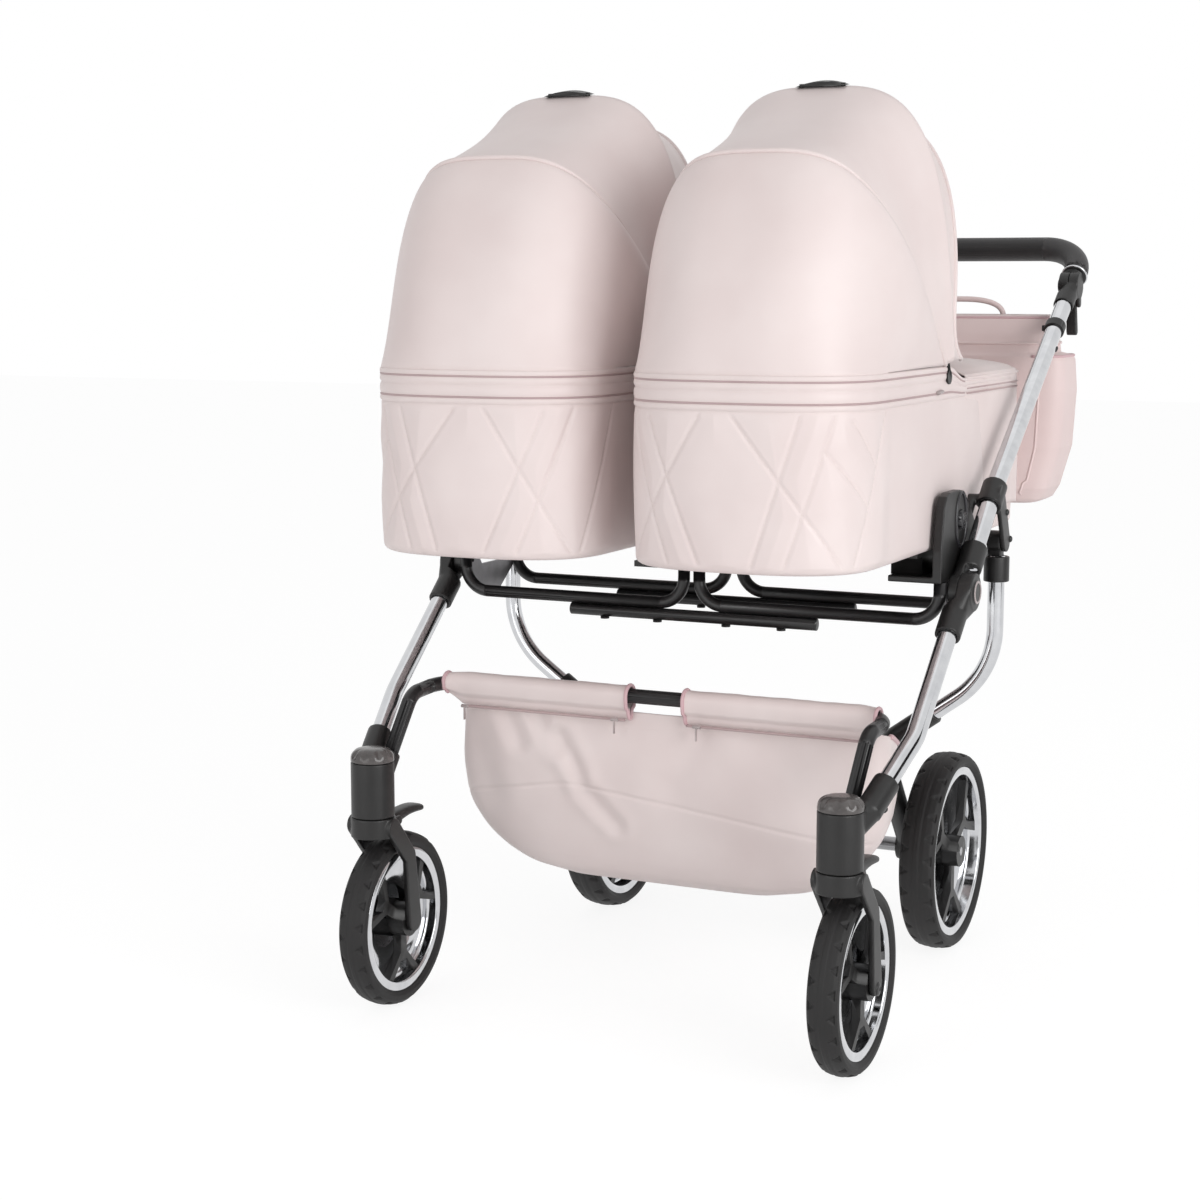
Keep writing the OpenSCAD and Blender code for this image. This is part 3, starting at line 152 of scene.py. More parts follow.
def add(tree, kind, inputs=None, stops=None, **settings):
    node = tree.nodes.new(kind)
    for key, value in settings.items():
        setattr(node, key, value)
    for socket, value in (inputs or {}).items():
        if isinstance(value, bpy.types.NodeSocket):
            tree.links.new(value, node.inputs[socket])
        else:
            node.inputs[socket].default_value = value
    for element, (place, colour) in zip(node.color_ramp.elements if stops else [], stops or []):
        element.position = place
        element.color = linear(colour)
    return node


def plain_finish(name, **constants):
    material = bpy.data.materials.new(name)
    material.use_nodes = True
    shader = material.node_tree.nodes["Principled BSDF"]
    for socket, value in constants.items():
        shader.inputs[socket.replace("_", " ")].default_value = value
    return material, material.node_tree, shader


def start_finish(name, **constants):
    material, tree, shader = plain_finish(name, **constants)
    return material, tree, shader, add(tree, "ShaderNodeTexCoord").outputs["Object"]


def connect(tree, shader, **outputs):
    for socket, output in outputs.items():
        tree.links.new(output, shader.inputs[socket.replace("_", " ")])


def grain_size(millimetres):
    return 1 / (millimetres * MM)


print("finishes read real sizes: a 2 mm grain is scale", grain_size(2))

# %% [markdown]
# ### Leatherette
# The covers are knitted cloth with a soft vinyl face, pressed with a fine leather grain. It shows a low
# sheen, a grain that only reads close up, and broad, faint changes of tone where the cloth is stretched.
# The grain is drawn at 2 mm, coarser than the real half millimetre, so that it shows at all.

# %% Leatherette
def leatherette(name, pale, deep, rough, grain=2.0, depth=0.00006):
    material, tree, shader, place = start_finish(name, IOR=1.48, Sheen_Weight=0.12, Sheen_Roughness=0.4)
    tone = add(tree, "ShaderNodeTexNoise", {"Vector": place, "Scale": grain_size(140), "Detail": 3.0})
    colour = add(tree, "ShaderNodeValToRGB", {"Fac": tone.outputs["Fac"]}, [(0.3, deep), (0.7, pale)])
    cells = add(tree, "ShaderNodeTexVoronoi", {"Vector": place, "Scale": grain_size(grain)}, feature="SMOOTH_F1")
    rub = add(tree, "ShaderNodeTexNoise", {"Vector": place, "Scale": grain_size(30), "Detail": 4.0})
    marks = {"Value": rub.outputs["Fac"], "To Min": rough - 0.06, "To Max": rough + 0.08}
    gloss = add(tree, "ShaderNodeMapRange", marks)
    bump = add(tree, "ShaderNodeBump", {"Height": cells.outputs["Distance"], "Strength": 0.5, "Distance": depth})
    connect(tree, shader, Base_Color=colour.outputs["Color"], Roughness=gloss.outputs["Result"],
            Normal=bump.outputs["Normal"])
    return material


pink_leatherette = leatherette("pale_pink_leatherette", "#E7DAD8", "#E0D1CF", 0.46)
# The bag's colour is made lighter than its leatherette really is, to make up for the shade that the hood casts on it:
# painted light.
bag_leatherette = leatherette("bag_leatherette_lightened_against_shade", "#EAD6D4", "#E2CDCB", 0.5)
binding_tape = leatherette("rose_binding_tape", "#D9B8BC", "#CFACB1", 0.6, grain=1.2)
zip_tape = leatherette("pink_zip_tape", "#BFA9A9", "#AE9798", 0.62, grain=1.2, depth=0.0001)
grip_leather = leatherette("black_grip_leatherette", "#353334", "#2A2829", 0.5, grain=1.8, depth=0.0001)
thread = leatherette("pale_sewing_thread", "#EFE4E0", "#E3D6D2", 0.7, grain=0.8)
print("six leatherettes and tapes")

# %% [markdown]
# ### Moulded plastic, rubber and cloth
# Frame joints are glass-filled nylon with a spark-eroded texture: almost black, softly matt. The caps on
# the casters are smoky and glossy. Tyres are foamed rubber, dusty on the tread. The mattress is cotton.

# %% Plastic, rubber and cotton
def moulded_plastic(name, pale, deep, rough, texture, depth):
    material, tree, shader, place = start_finish(name, IOR=1.5)
    tone = add(tree, "ShaderNodeTexNoise", {"Vector": place, "Scale": grain_size(25), "Detail": 4.0})
    colour = add(tree, "ShaderNodeValToRGB", {"Fac": tone.outputs["Fac"]}, [(0.35, deep), (0.65, pale)])
    spark = add(tree, "ShaderNodeTexNoise", {"Vector": place, "Scale": grain_size(texture), "Detail": 2.0})
    marks = {"Value": tone.outputs["Fac"], "To Min": rough - 0.08, "To Max": rough + 0.08}
    gloss = add(tree, "ShaderNodeMapRange", marks)
    bump = add(tree, "ShaderNodeBump", {"Height": spark.outputs["Fac"], "Strength": 0.4, "Distance": depth})
    connect(tree, shader, Base_Color=colour.outputs["Color"], Roughness=gloss.outputs["Result"],
            Normal=bump.outputs["Normal"])
    return material


black_nylon = moulded_plastic("black_moulded_nylon", "#171616", "#111010", 0.42, 1.0, 0.00006)
smoky_cap = moulded_plastic("smoky_glossy_plastic", "#5E5A59", "#4A4645", 0.16, 4.0, 0.00002)
gloss_button = moulded_plastic("gloss_black_button", "#2B2A2D", "#201F22", 0.22, 3.0, 0.00002)
tyre_rubber = moulded_plastic("foamed_tyre_rubber", "#191718", "#121111", 0.66, 1.2, 0.0001)
worn_rubber = moulded_plastic("worn_tread_rubber", "#544D4A", "#47413E", 0.6, 1.2, 0.0001)
powder_black = moulded_plastic("black_powder_coat", "#1F1E1F", "#181718", 0.36, 1.6, 0.00005)
zip_metal = moulded_plastic("lacquered_zip_slider", "#B9AEAD", "#A39897", 0.3, 2.0, 0.00002)


def woven_cotton(name, pale, deep, spacing):
    # Two crossed waves draw the threads; at 2 mm they are coarser than real cotton, so that they show.
    material, tree, shader, place = start_finish(name, Roughness=0.9, Sheen_Weight=0.25)
    waves = [
        add(tree, "ShaderNodeTexWave", {"Vector": place, "Scale": grain_size(spacing) / 6.3}, bands_direction=way)
        for way in ("X", "Y")
    ]
    weave = add(
        tree, "ShaderNodeMath", {0: waves[0].outputs["Fac"], 1: waves[1].outputs["Fac"]}, operation="MULTIPLY"
    )
    colour = add(tree, "ShaderNodeValToRGB", {"Fac": weave.outputs["Value"]}, [(0.0, deep), (0.6, pale)])
    bump = add(tree, "ShaderNodeBump", {"Height": weave.outputs["Value"], "Strength": 0.5, "Distance": 0.0003})
    connect(tree, shader, Base_Color=colour.outputs["Color"], Normal=bump.outputs["Normal"])
    return material


mattress_cotton = woven_cotton("white_mattress_cotton", "#F1EEE9", "#DFDAD3", 2.0)
print("seven plastics, one cotton")

# %% [markdown]
# ### Metal
# The tubes and wheel rings are chrome plate: a metal that mirrors its surroundings at a little over half
# their brightness, with faint wiping marks. The axle is brushed steel, and the link plates are satin grey.

# %% Metal
def plated_metal(name, colour, rough, smear, stretch=(1, 1, 1)):
    material, tree, shader, place = start_finish(name, Metallic=1.0)
    turned = add(tree, "ShaderNodeMapping", {"Vector": place, "Scale": stretch})
    wipe = add(tree, "ShaderNodeTexNoise", {"Vector": turned.outputs["Vector"], "Scale": grain_size(18), "Detail": 5.0})
    tint = add(tree, "ShaderNodeValToRGB", {"Fac": wipe.outputs["Fac"]}, [(0.3, colour[0]), (0.7, colour[1])])
    gloss = add(tree, "ShaderNodeMapRange", {"Value": wipe.outputs["Fac"], "To Min": rough, "To Max": rough + smear})
    connect(tree, shader, Base_Color=tint.outputs["Color"], Roughness=gloss.outputs["Result"])
    return material


chrome_plate = plated_metal("chrome_plate", ("#C6C7CA", "#D2D3D5"), 0.05, 0.07)
satin_grey = plated_metal("satin_grey_plate", ("#7A797B", "#8A898B"), 0.38, 0.12)
brushed_axle = plated_metal("brushed_axle_steel", ("#A9A9AB", "#BBBBBD"), 0.22, 0.2, (0.05, 1, 1))

finish_of = {
    "chrome_tube": chrome_plate, "chrome_rim": chrome_plate, "black_plastic": black_nylon,
    "grey_steel": satin_grey, "black_steel": powder_black, "bolt_black": powder_black,
    "axle_steel": brushed_axle, "smoke_plastic": smoky_cap, "button_plastic": gloss_button,
    "tyre_rubber": tyre_rubber, "grip_leather": grip_leather, "leatherette": pink_leatherette,
    "bag_leatherette": bag_leatherette, "mattress_cloth": mattress_cotton,
}
for name, node in nodes.items():
    finish = finish_of[slot_of[name]]
    for slot in node.material_slots:
        slot.material = finish
    if not node.material_slots:
        node.data.materials.append(finish)
print("finishes on", len(nodes), "CAD nodes")

# %% [markdown]
# ## Tools for sewing
# A cover is a grid that is laid on a curved surface: the grid primitive gives clean rows and columns, and a
# formula says where each point lies. Piping, loops and zips are sweeps of a small ring along a path. Both
# end as a closed skin with smooth shading, ready for a modifier that gives the cloth its thickness.

# %% Grids, sweeps and stitches
MERGE = 0.00001


def lengths(path):
    return np.linalg.norm(np.diff(path, axis=0), axis=1)


def unit(ways):
    return ways / np.linalg.norm(ways, axis=-1, keepdims=True)


def turns(count):
    return np.linspace(0, 2 * math.pi, count)


def use(piece):
    bpy.ops.object.select_all(action="DESELECT")
    piece.select_set(True)
    bpy.context.view_layer.objects.active = piece


def edit(piece, *steps):
    use(piece)
    bpy.ops.object.mode_set(mode="EDIT")
    bpy.ops.mesh.select_all(action="SELECT")
    for step in steps:
        step()
    bpy.ops.object.mode_set(mode="OBJECT")


def merge(piece):
    edit(piece, lambda: bpy.ops.mesh.remove_doubles(threshold=MERGE))


def smooth(piece):
    use(piece)
    bpy.ops.object.shade_smooth()
    return piece


def from_corners(name, corners, faces=()):
    mesh = bpy.data.meshes.new(name)
    mesh.from_pydata([tuple(corner) for corner in corners], [], faces)
    return into_scene(name, mesh)


def cloth_grid(name, points, inside=None):
    points = np.asarray(points, float)
    rows, cols = points.shape[:2]
    bpy.ops.object.select_all(action="DESELECT")
    bpy.ops.mesh.primitive_grid_add(x_subdivisions=cols - 1, y_subdivisions=rows - 1)
    piece = bpy.context.object
    piece.name = piece.data.name = name
    piece.data.vertices.foreach_set("co", to_frame(points).ravel())
    merge(piece)
    if inside is None:
        edit(piece, lambda: bpy.ops.mesh.normals_make_consistent(inside=False))
    else:
        middle = Vector(to_frame(inside))
        outward = sum(f.normal.dot(f.center - middle) * f.area for f in piece.data.polygons)
        if outward < 0:
            edit(piece, bpy.ops.mesh.flip_normals)
    return smooth(piece)


def spread(path, count):
    path = np.asarray(path, float)
    along = np.concatenate([[0], np.cumsum(lengths(path))])
    marks = np.linspace(0, along[-1], count)
    return np.stack([np.interp(marks, along, path[:, k]) for k in range(path.shape[1])], axis=1)


def sweep(name, path, radius, sides=12, flat=1.0):
    # flat squeezes the ring along its second axis, so that a piping can become a tape
    path = np.asarray(path, float)
    ahead = unit(np.gradient(path, axis=0))
    normals = [unit(np.cross(ahead[0], [0, 0, 1] if abs(ahead[0][2]) < 0.9 else [1, 0, 0]))]
    for way in ahead[1:]:
        normals.append(unit(normals[-1] - way * np.dot(normals[-1], way)))
    normals = np.array(normals)
    across = np.cross(ahead, normals)
    turn = turns(sides + 1)
    ring = radius * (
        np.cos(turn)[None, :, None] * normals[:, None] + flat * np.sin(turn)[None, :, None] * across[:, None]
    )
    tube = path[:, None] + ring
    ends = [np.repeat(path[k][None, None], sides + 1, axis=1) for k in (0, -1)]
    return cloth_grid(name, np.concatenate([ends[0], tube, ends[1]]))


STITCH_L, STITCH_GAP, STITCH_W = 3.4, 1.6, 0.8


def stitches(name, paths, outward):
    # Each stitch is a slim lozenge that lies on the cloth; outward gives the cloth's normal at a point
    corners, faces = [], []
    for path in paths:
        marks = spread(path, max(2, int(lengths(path).sum() / (STITCH_L + STITCH_GAP))) + 1)
        for a, b in zip(marks[:-1], marks[1:]):
            way = unit(b - a)
            up = outward((a + b) / 2)
            side = np.cross(way, up) * STITCH_W / 2
            mid, half = (a + b) / 2, way * STITCH_L / 2
            start = len(corners)
            up = up * STITCH_W / 2
            corners += [mid - half, mid + side, mid + half, mid - side, mid + up, mid - up]
            for k in range(4):
                faces += [(start + k, start + (k + 1) % 4, start + 4), (start + (k + 1) % 4, start + k, start + 5)]
    return from_corners(name, to_frame(corners), faces)


def apply(piece, kind, **settings):
    use(piece)
    modifier = piece.modifiers.new(kind.lower(), kind)
    for key, value in settings.items():
        setattr(modifier, key, value)
    bpy.ops.object.modifier_apply(modifier=modifier.name)


def dress(piece, finish, body, slot, *stands_for):
    piece.data.materials.clear()
    piece.data.materials.append(finish)
    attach(piece, body)
    if stands_for:
        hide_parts(*stands_for)
    return piece


def stand_in(piece, finish, node):
    return dress(piece, finish, body_of[node], slot_of[node], node)


def trim(name, path, radius, finish, body, slot, sides=12, flat=1.0):
    return dress(sweep(name, path, radius, sides, flat), finish, body, slot)


def squared(angle, power):
    # Rounding makes the ends of a closed outline meet exactly
    c, s = np.round(np.cos(angle), 12), np.round(np.sin(angle), 12)
    return np.sign(c) * np.abs(c) ** (2 / power), np.sign(s) * np.abs(s) ** (2 / power)


print("sewing tools ready")

# %% [markdown]
# ## Carrycot tubs
# Each tub is a padded shell with a zipped band along its rim and slanting quilt lines on its front. A cloth
# simulation would lose lines that are 2 mm wide, so the wall is a fine grid and the padding is a formula:
# it swells between the sewn lines and sinks into them. Rows and columns are close only where lines are sewn.

# %% The tub's outline
FRONT_DEPTH, BACK_DEPTH, ROUND_POWER = 130.0, 110.0, 2.8
TUB_TAPER = 3.0
QUILT_REACH = 250.0


def cot_outline(width, grow=0.0):
    turn = np.linspace(math.pi / 2, math.pi / 2 - 2 * math.pi, 2881)
    x, y = squared(turn, ROUND_POWER)
    back = np.sin(turn) > 0
    depth = np.where(back, BACK_DEPTH, FRONT_DEPTH) + grow
    middle = np.where(back, COT_BACK - BACK_DEPTH, COT_FRONT + FRONT_DEPTH)
    return np.stack([x * max(width / 2 + grow, 1), middle + y * np.maximum(depth, 1)], axis=1)


def outline_marks():
    path = cot_outline(COT_W)
    along = np.concatenate([[0], np.cumsum(lengths(path))])
    along = along[-1] / 2 - along
    half = along[0]
    plain = np.linspace(half, QUILT_REACH, 92)[:-1]
    return along, np.concatenate([plain, np.linspace(QUILT_REACH, -QUILT_REACH, 281), -plain[::-1]])


ALONG, MARKS = outline_marks()


def cot_ring(width, grow=0.0):
    path = cot_outline(width, grow)
    return np.stack([np.interp(-MARKS, -ALONG, path[:, k]) for k in range(2)], axis=1)


def ring_normals(ring):
    way = np.roll(ring, -1, axis=0) - np.roll(ring, 1, axis=0)
    way[0] = way[-1] = ring[1] - ring[-2]
    out = unit(np.stack([way[:, 1], -way[:, 0]], axis=1))
    return out * np.sign((out * (ring - ring.mean(axis=0))).sum(axis=1).mean())


print("outline", round(ALONG[0] * 2), "mm round,", len(MARKS), "columns")

# %% Quilt lines and the zipped band
BAND_LOW = 796.0
QUILT_LOW = 612.0
# Ends of the sewn lines: distance along the wall from the middle of the front, and height
QUILT_LINES = [
    ((-110, 786), (-35, 616)), ((-34, 792), (-118, 658)), ((-151, 792), (-76, 612)), ((5, 792), (145, 612)),
    ((131, 792), (71, 612)), ((89, 792), (31, 612)), ((156, 784), (206, 728)), ((120, 748), (186, 684)),
    ((-118, 658), (-150, 612)), ((232, 796), (160, 612)), ((-232, 796), (-160, 612)),
]
# Heights where the band's strips meet in a sewn groove
BAND_SEAMS = [796.0, 804.5, 820.0, 830.0, 838.0]
SEAM_W, SEAM_DEPTH, PUFF, PUFF_REACH = 2.6, 1.7, 2.6, 22.0


def line_distance(s, z, line):
    a, b = np.array(line[0], float), np.array(line[1], float)
    way = b - a
    t = np.clip(((s - a[0]) * way[0] + (z - a[1]) * way[1]) / (way @ way), 0, 1)
    return np.hypot(s - a[0] - t * way[0], z - a[1] - t * way[1])


def tub_padding(s, z):
    near = np.min([line_distance(s, z, line) for line in QUILT_LINES], axis=0)
    inside = np.clip((QUILT_REACH - np.abs(s)) / 30, 0, 1)
    puff = PUFF * (1 - np.exp(-(near / PUFF_REACH) ** 2)) - SEAM_DEPTH * np.exp(-(near / SEAM_W) ** 2)
    ends = np.clip((z - QUILT_LOW + 6) / 14, 0, 1) * np.clip((BAND_LOW - z) / 10, 0, 1)
    drape = 1.2 * np.sin(s / 41 + 0.6 * np.sin(z / 60)) * np.clip((np.abs(s) - QUILT_REACH) / 60, 0, 1)
    return (inside * puff + drape) * ends


def band_relief(z):
    relief = np.zeros_like(z)
    for low, high in zip(BAND_SEAMS[:-1], BAND_SEAMS[1:]):
        across = (z - (low + high) / 2) / ((high - low) / 2)
        relief = np.maximum(relief, 2.8 * np.sqrt(np.clip(1 - across ** 2, 0, 1)))
    return np.where(z < BAND_LOW, 0, relief - 1.0)


def wall_w(z):
    return COT_W - TUB_TAPER * (RIM_Z - z) / (RIM_Z - COT_Z)


FOOT_DROP = 18.0


def rim_at(y):
    ease = np.clip((np.asarray(y, float) - 300) / 72, 0, 1)
    return RIM_Z - FOOT_DROP * ease ** 2 * (3 - 2 * ease)


def lowered(z, y):
    # The rim comes down towards the foot end, where the band's strips lie closer together
    above = np.clip(z - BAND_LOW, 0, None)
    return np.minimum(z, BAND_LOW) + above * (rim_at(y) - BAND_LOW) / (RIM_Z - BAND_LOW)


def tub_points():
    edge, wall, floor_z = 9.0, 10.0, COT_Z + 7
    rows = [(COT_Z, -147.0), (COT_Z, -110.0), (COT_Z, -50.0), (COT_Z, -edge - 4)]
    rows += [(COT_Z + edge * (1 - math.cos(a)), edge * (math.sin(a) - 1)) for a in np.linspace(0, math.pi / 2, 7)]
    rows += [(z, 0.0) for z in np.linspace(COT_Z + edge + 2, BAND_LOW - 1, 74)]
    rows += [(z, 0.0) for z in np.linspace(BAND_LOW, RIM_Z - 0.5, 36)]
    rows += [(RIM_Z, -wall / 2), (RIM_Z - 1, -wall + 1), (RIM_Z - 5, -wall)]
    rows += [(z, -wall) for z in np.linspace(RIM_Z - 20, floor_z, 8)]
    rows += [(floor_z, -60.0), (floor_z, -147.0)]
    grid = []
    for z, grow in rows:
        ring = cot_ring(wall_w(z), grow)
        heights = np.full(len(ring), z)
        if grow == 0.0:
            swell = tub_padding(MARKS, heights) + band_relief(heights)
            ring = ring + ring_normals(ring) * swell[:, None]
        grid.append(np.column_stack([ring, lowered(heights, ring[:, 1])]))
    return np.array(grid)


TUB = tub_points()
print("tub grid", TUB.shape[:2])

# %% Tubs and their stitching
def on_wall(s, z, lift):
    ring = cot_ring(wall_w(z))
    out = ring_normals(ring)
    place = [np.interp(-s, -MARKS, ring[:, k]) for k in range(2)]
    away = np.array([np.interp(-s, -MARKS, out[:, k]) for k in range(2)])
    swell = tub_padding(np.array([s]), np.array([float(z)]))[0] + lift
    return np.array([*(np.array(place) + unit(away) * swell), z])


def wall_outward(point):
    ring = cot_ring(COT_W)
    nearest = np.argmin(np.hypot(ring[:, 0] - point[0], ring[:, 1] - point[1]))
    return np.array([*ring_normals(ring)[nearest], 0.0])


ZIP_LINES, ZIP_R, APRON_Y = (804.5, 830.0), 1.5, 372.0


def band_path(z):
    ring = cot_ring(wall_w(z))
    path = np.column_stack([ring + ring_normals(ring) * 0.2, lowered(np.full(len(ring), z), ring[:, 1])])
    return spread(path[ring[:, 1] < APRON_Y], 260)


seam_paths = []
for start, end in QUILT_LINES:
    track = [np.array(start) + t * (np.array(end) - np.array(start)) for t in np.linspace(0, 1, 24)]
    seam_paths.append(np.array([on_wall(s, z, 0.3) for s, z in track]))
for side, sign in SIDES.items():
    shift = np.array([sign * COT_X, 0, 0])
    tub = cloth_grid(f"tub_cover_{side}", at_cot(TUB, sign))
    stand_in(tub, pink_leatherette, f"tub_{side}")
    outward = lambda point: mirror_x(wall_outward(mirror_x(point - shift, sign)), sign)
    sewn = stitches(f"tub_stitching_{side}", [at_cot(path, sign) for path in seam_paths], outward)
    dress(sewn, thread, f"carrycot_{side}", "leatherette")
    for k, z in enumerate(ZIP_LINES):
        coil = at_cot(band_path(z), sign)
        trim(f"tub_zip_{k}_{side}", coil, ZIP_R, zip_tape, f"carrycot_{side}", "leatherette", sides=8)
    print(tub.name, len(tub.data.polygons), "faces;", sewn.name, len(sewn.data.polygons))

# %% [markdown]
# ## Hoods
# A hood is cloth over bows. The back panel is sewn to the back bow by a piped seam and zipped to the tub,
# and the roof is one sheet, drawn tight from that bow over the top bow to the mouth. Drawn cloth is hollow
# between its bows, so the sheet sinks a little there, and it gathers in soft folds where it nears the pivot.

# %% The hood's bows
HOOD_R, HOOD_W, HOOD_FOOT = 367.0, 326.0, 22.0
CLOTH_T = 3.0
COLS = 121
# Angle about the pivot, radius, half width and squareness of the back bow, top bow and mouth
BOWS = [
    (45.3, 1.055 * HOOD_R, 0.474 * HOOD_W, 3.4),
    (8.8, HOOD_R, 0.5 * HOOD_W, 3.4),
    (-16.0, 0.935 * HOOD_R, 0.469 * HOOD_W, 2.8),
]
# The mouth's feet run out towards the apron
MOUTH_FLARE, FLARE_POWER = 130.0, 14


def bow(angle, radius, half_w, power):
    start = math.asin((HOOD_FOOT / radius) ** (power / 2))
    x, rise = squared(np.linspace(start, math.pi - start, 1441), power)
    lean = math.radians(angle)
    height = rise * radius
    flare = MOUTH_FLARE * (1 - rise) ** FLARE_POWER * (angle < 0)
    arch = np.stack([
        x * half_w, PIVOT_Y - height * math.sin(lean) + flare, PIVOT_Z + height * math.cos(lean)
    ], axis=1)
    return spread(arch, COLS)


back_bow, top_bow, mouth = [bow(*values) for values in BOWS]
across = np.linspace(0, 1, COLS)
print("bows", [round(float(b[:, 2].max())) for b in (back_bow, top_bow, mouth)], "mm high")

# %% Roof and back panel as grids
ROOF_SAG, FLANK_HOLLOW, FOLD_DEPTH, BACK_BULGE, SIDE_BULGE = 7.0, 9.0, 3.6, 20.0, 18.0
TUCK_SHARE, TUCK_DEEP = 0.965, 26.0


def roof_grid():
    rows = []
    for t in np.linspace(0, 2, 61):
        near, far = (back_bow, top_bow) if t < 1 else (top_bow, mouth)
        share = t if t < 1 else t - 1
        row = near + (far - near) * share
        crown = np.sin(math.pi * across)
        sag = ROOF_SAG * math.sin(math.pi * share) * crown * (1.0 if t < 1 else 0.5)
        flank = np.exp(-((np.minimum(across, 1 - across) - 0.17) / 0.1) ** 2)
        folds = FOLD_DEPTH * flank * np.sin(7.5 * t + 1.1 * np.sin(9 * across)) * math.sin(math.pi * t / 2)
        hollow = FLANK_HOLLOW * math.sin(math.pi * share) * np.sin(2 * math.pi * across) ** 2
        hollow = hollow * (1.0 if t < 1 else 0.4)
        row[:, 0] -= np.sign(row[:, 0]) * hollow
        spoke = row - np.array([0, PIVOT_Y, PIVOT_Z])
        spoke[:, 0] *= 0.6
        rows.append(row - unit(spoke) * (sag + folds)[:, None])
    return np.array(rows)


def rim_front():
    ring = cot_outline(COT_W)
    side_y = PIVOT_Y - HOOD_FOOT * math.sin(math.radians(BOWS[0][0]))
    front = ring[ring[:, 1] < side_y]
    return np.column_stack([spread(front, COLS), np.full(COLS, RIM_Z + 0.5)])


def back_grid():
    foot = rim_front()
    rows = []
    for t in np.linspace(0, 1, 49):
        row = back_bow + (foot - back_bow) * t
        full = np.sin(math.pi * t) ** 0.8 * np.sin(math.pi * across) ** 0.7
        row = row + np.stack([
            SIDE_BULGE * math.sin(math.pi * math.sqrt(t)) * np.sin(2 * math.pi * across),
            -BACK_BULGE * full,
            BACK_BULGE * full / 3,
        ], axis=1)
        rows.append(row)
    # The hem is tucked into the tub, so that no light shows between them
    middle = np.array([0, PIVOT_Y])
    tuck = foot.copy()
    tuck[:, :2] = middle + (tuck[:, :2] - middle) * TUCK_SHARE
    tuck[:, 2] -= TUCK_DEEP
    return np.array(rows + [(foot + tuck) / 2, tuck])


ROOF, BACK = roof_grid(), back_grid()

# %% Sew the hoods
PIPING_R = 3.2
SLIDER_OUT, SLIDER_Y, SLIDER_Z, SLIDER_R = 2.6, 254.0, 806.5, 4.2
for side, sign in SIDES.items():
    shift = np.array([sign * COT_X, 0, 0])
    inside = np.array([sign * COT_X, PIVOT_Y, PIVOT_Z + 120])
    cot, hood = f"carrycot_{side}", f"hood_{side}"
    back = cloth_grid(f"hood_back_panel_{side}", at_cot(BACK, sign), inside)
    apply(back, "SOLIDIFY", thickness=CLOTH_T * MM, offset=-1)
    stand_in(back, pink_leatherette, f"hood_back_{side}")
    trim(f"hood_piping_{side}", at_cot(back_bow, sign), PIPING_R, pink_leatherette, cot, "leatherette")
    roof = cloth_grid(f"hood_roof_cloth_{side}", at_cot(ROOF, sign), inside)
    apply(roof, "SOLIDIFY", thickness=CLOTH_T * MM, offset=-1)
    roof.data.materials.append(pink_leatherette)
    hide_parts(f"hood_roof_{side}")
    start, end = to_frame(back_bow[COLS // 2] + shift), to_frame(top_bow[COLS // 2] + shift)
    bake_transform(roof)
    trim(f"hood_hem_{side}", at_cot(mouth, sign), PIPING_R, pink_leatherette, hood, "leatherette")
    slider_at = np.array([sign * (COT_X + COT_W / 2 + SLIDER_OUT), SLIDER_Y, SLIDER_Z])
    slider_path = slider_at + np.array([(0, t, t / 12) for t in (-8, -7, 7, 8)])
    trim(f"hood_zip_slider_{side}", slider_path, SLIDER_R, zip_metal, cot, "leatherette", flat=0.6)
    print(back.name, roof.name, len(roof.data.polygons), "faces")

# %% [markdown]
# ## Aprons
# The apron covers the foot of the carrycot, on the handle's side: a crowned lid with a skirt that hangs over
# the wall. One grid runs from the skirt's hem up over the rim to the lid's spine. The skirt hangs free, so
# it gets soft upright folds that fade towards the rim, where the cloth is held.

# %% Aprons
APRON_DROP, APRON_CROWN, APRON_OUT, APRON_T = 182.0, 15.0, 3.4, 2.2
ring = cot_outline(COT_W)
u_path = np.roll(ring[:-1], len(ring) // 2, axis=0)
u_path = spread(u_path[u_path[:, 1] > APRON_Y + 6], 181)
u_path[0, 1] = u_path[-1, 1] = APRON_Y + 6
u_out = np.gradient(u_path, axis=0)
u_out = unit(np.stack([u_out[:, 1], -u_out[:, 0]], axis=1))
u_out *= np.sign((u_out * (u_path - u_path.mean(axis=0))).sum(axis=1).mean())
u_along = np.linspace(0, lengths(u_path).sum(), len(u_path))
u_rim = rim_at(u_path[:, 1])
# The front edges of the skirt lie flat on the wall
u_hold = np.clip(np.minimum(u_along, u_along[-1] - u_along) / 45, 0, 1)
u_hold = u_hold ** 2 * (3 - 2 * u_hold)


def apron_grid():
    rows = []
    folds = np.sin(u_along / 17) + 0.6 * np.sin(u_along / 9.5 + 1)
    for share in np.linspace(1, 0, 40):
        z = u_rim - APRON_DROP * share
        wall = np.stack([u_path[:, 0] * wall_w(z) / COT_W, u_path[:, 1]], axis=1)
        out = 0.5 + (APRON_OUT - 0.5 + 1.7 * min(1.5 * share, 1) ** 1.3 * (1 + folds)) * u_hold
        rows.append(np.column_stack([wall + u_out * out[:, None], z]))
    for turn in np.linspace(0.2, 1, 6) * math.pi / 2:
        out = 0.5 + (APRON_OUT - 0.5) * u_hold - 6 * (1 - math.cos(turn))
        rows.append(np.column_stack([u_path + u_out * out[:, None], u_rim + 5 * math.sin(turn)]))
    spine = np.stack([np.zeros(len(u_path)), np.clip(u_path[:, 1], APRON_Y, COT_BACK - 120)], axis=1)
    lid_edge = u_path + u_out * (0.5 + (APRON_OUT - 0.5) * u_hold - 6)[:, None]
    for share in np.linspace(0.04, 1, 26):
        row = lid_edge * (1 - share) + spine * share
        rows.append(np.column_stack([row, u_rim + 5 + APRON_CROWN * math.sin(share ** 0.6 * math.pi / 2)]))
    return np.array(rows)


APRON = apron_grid()
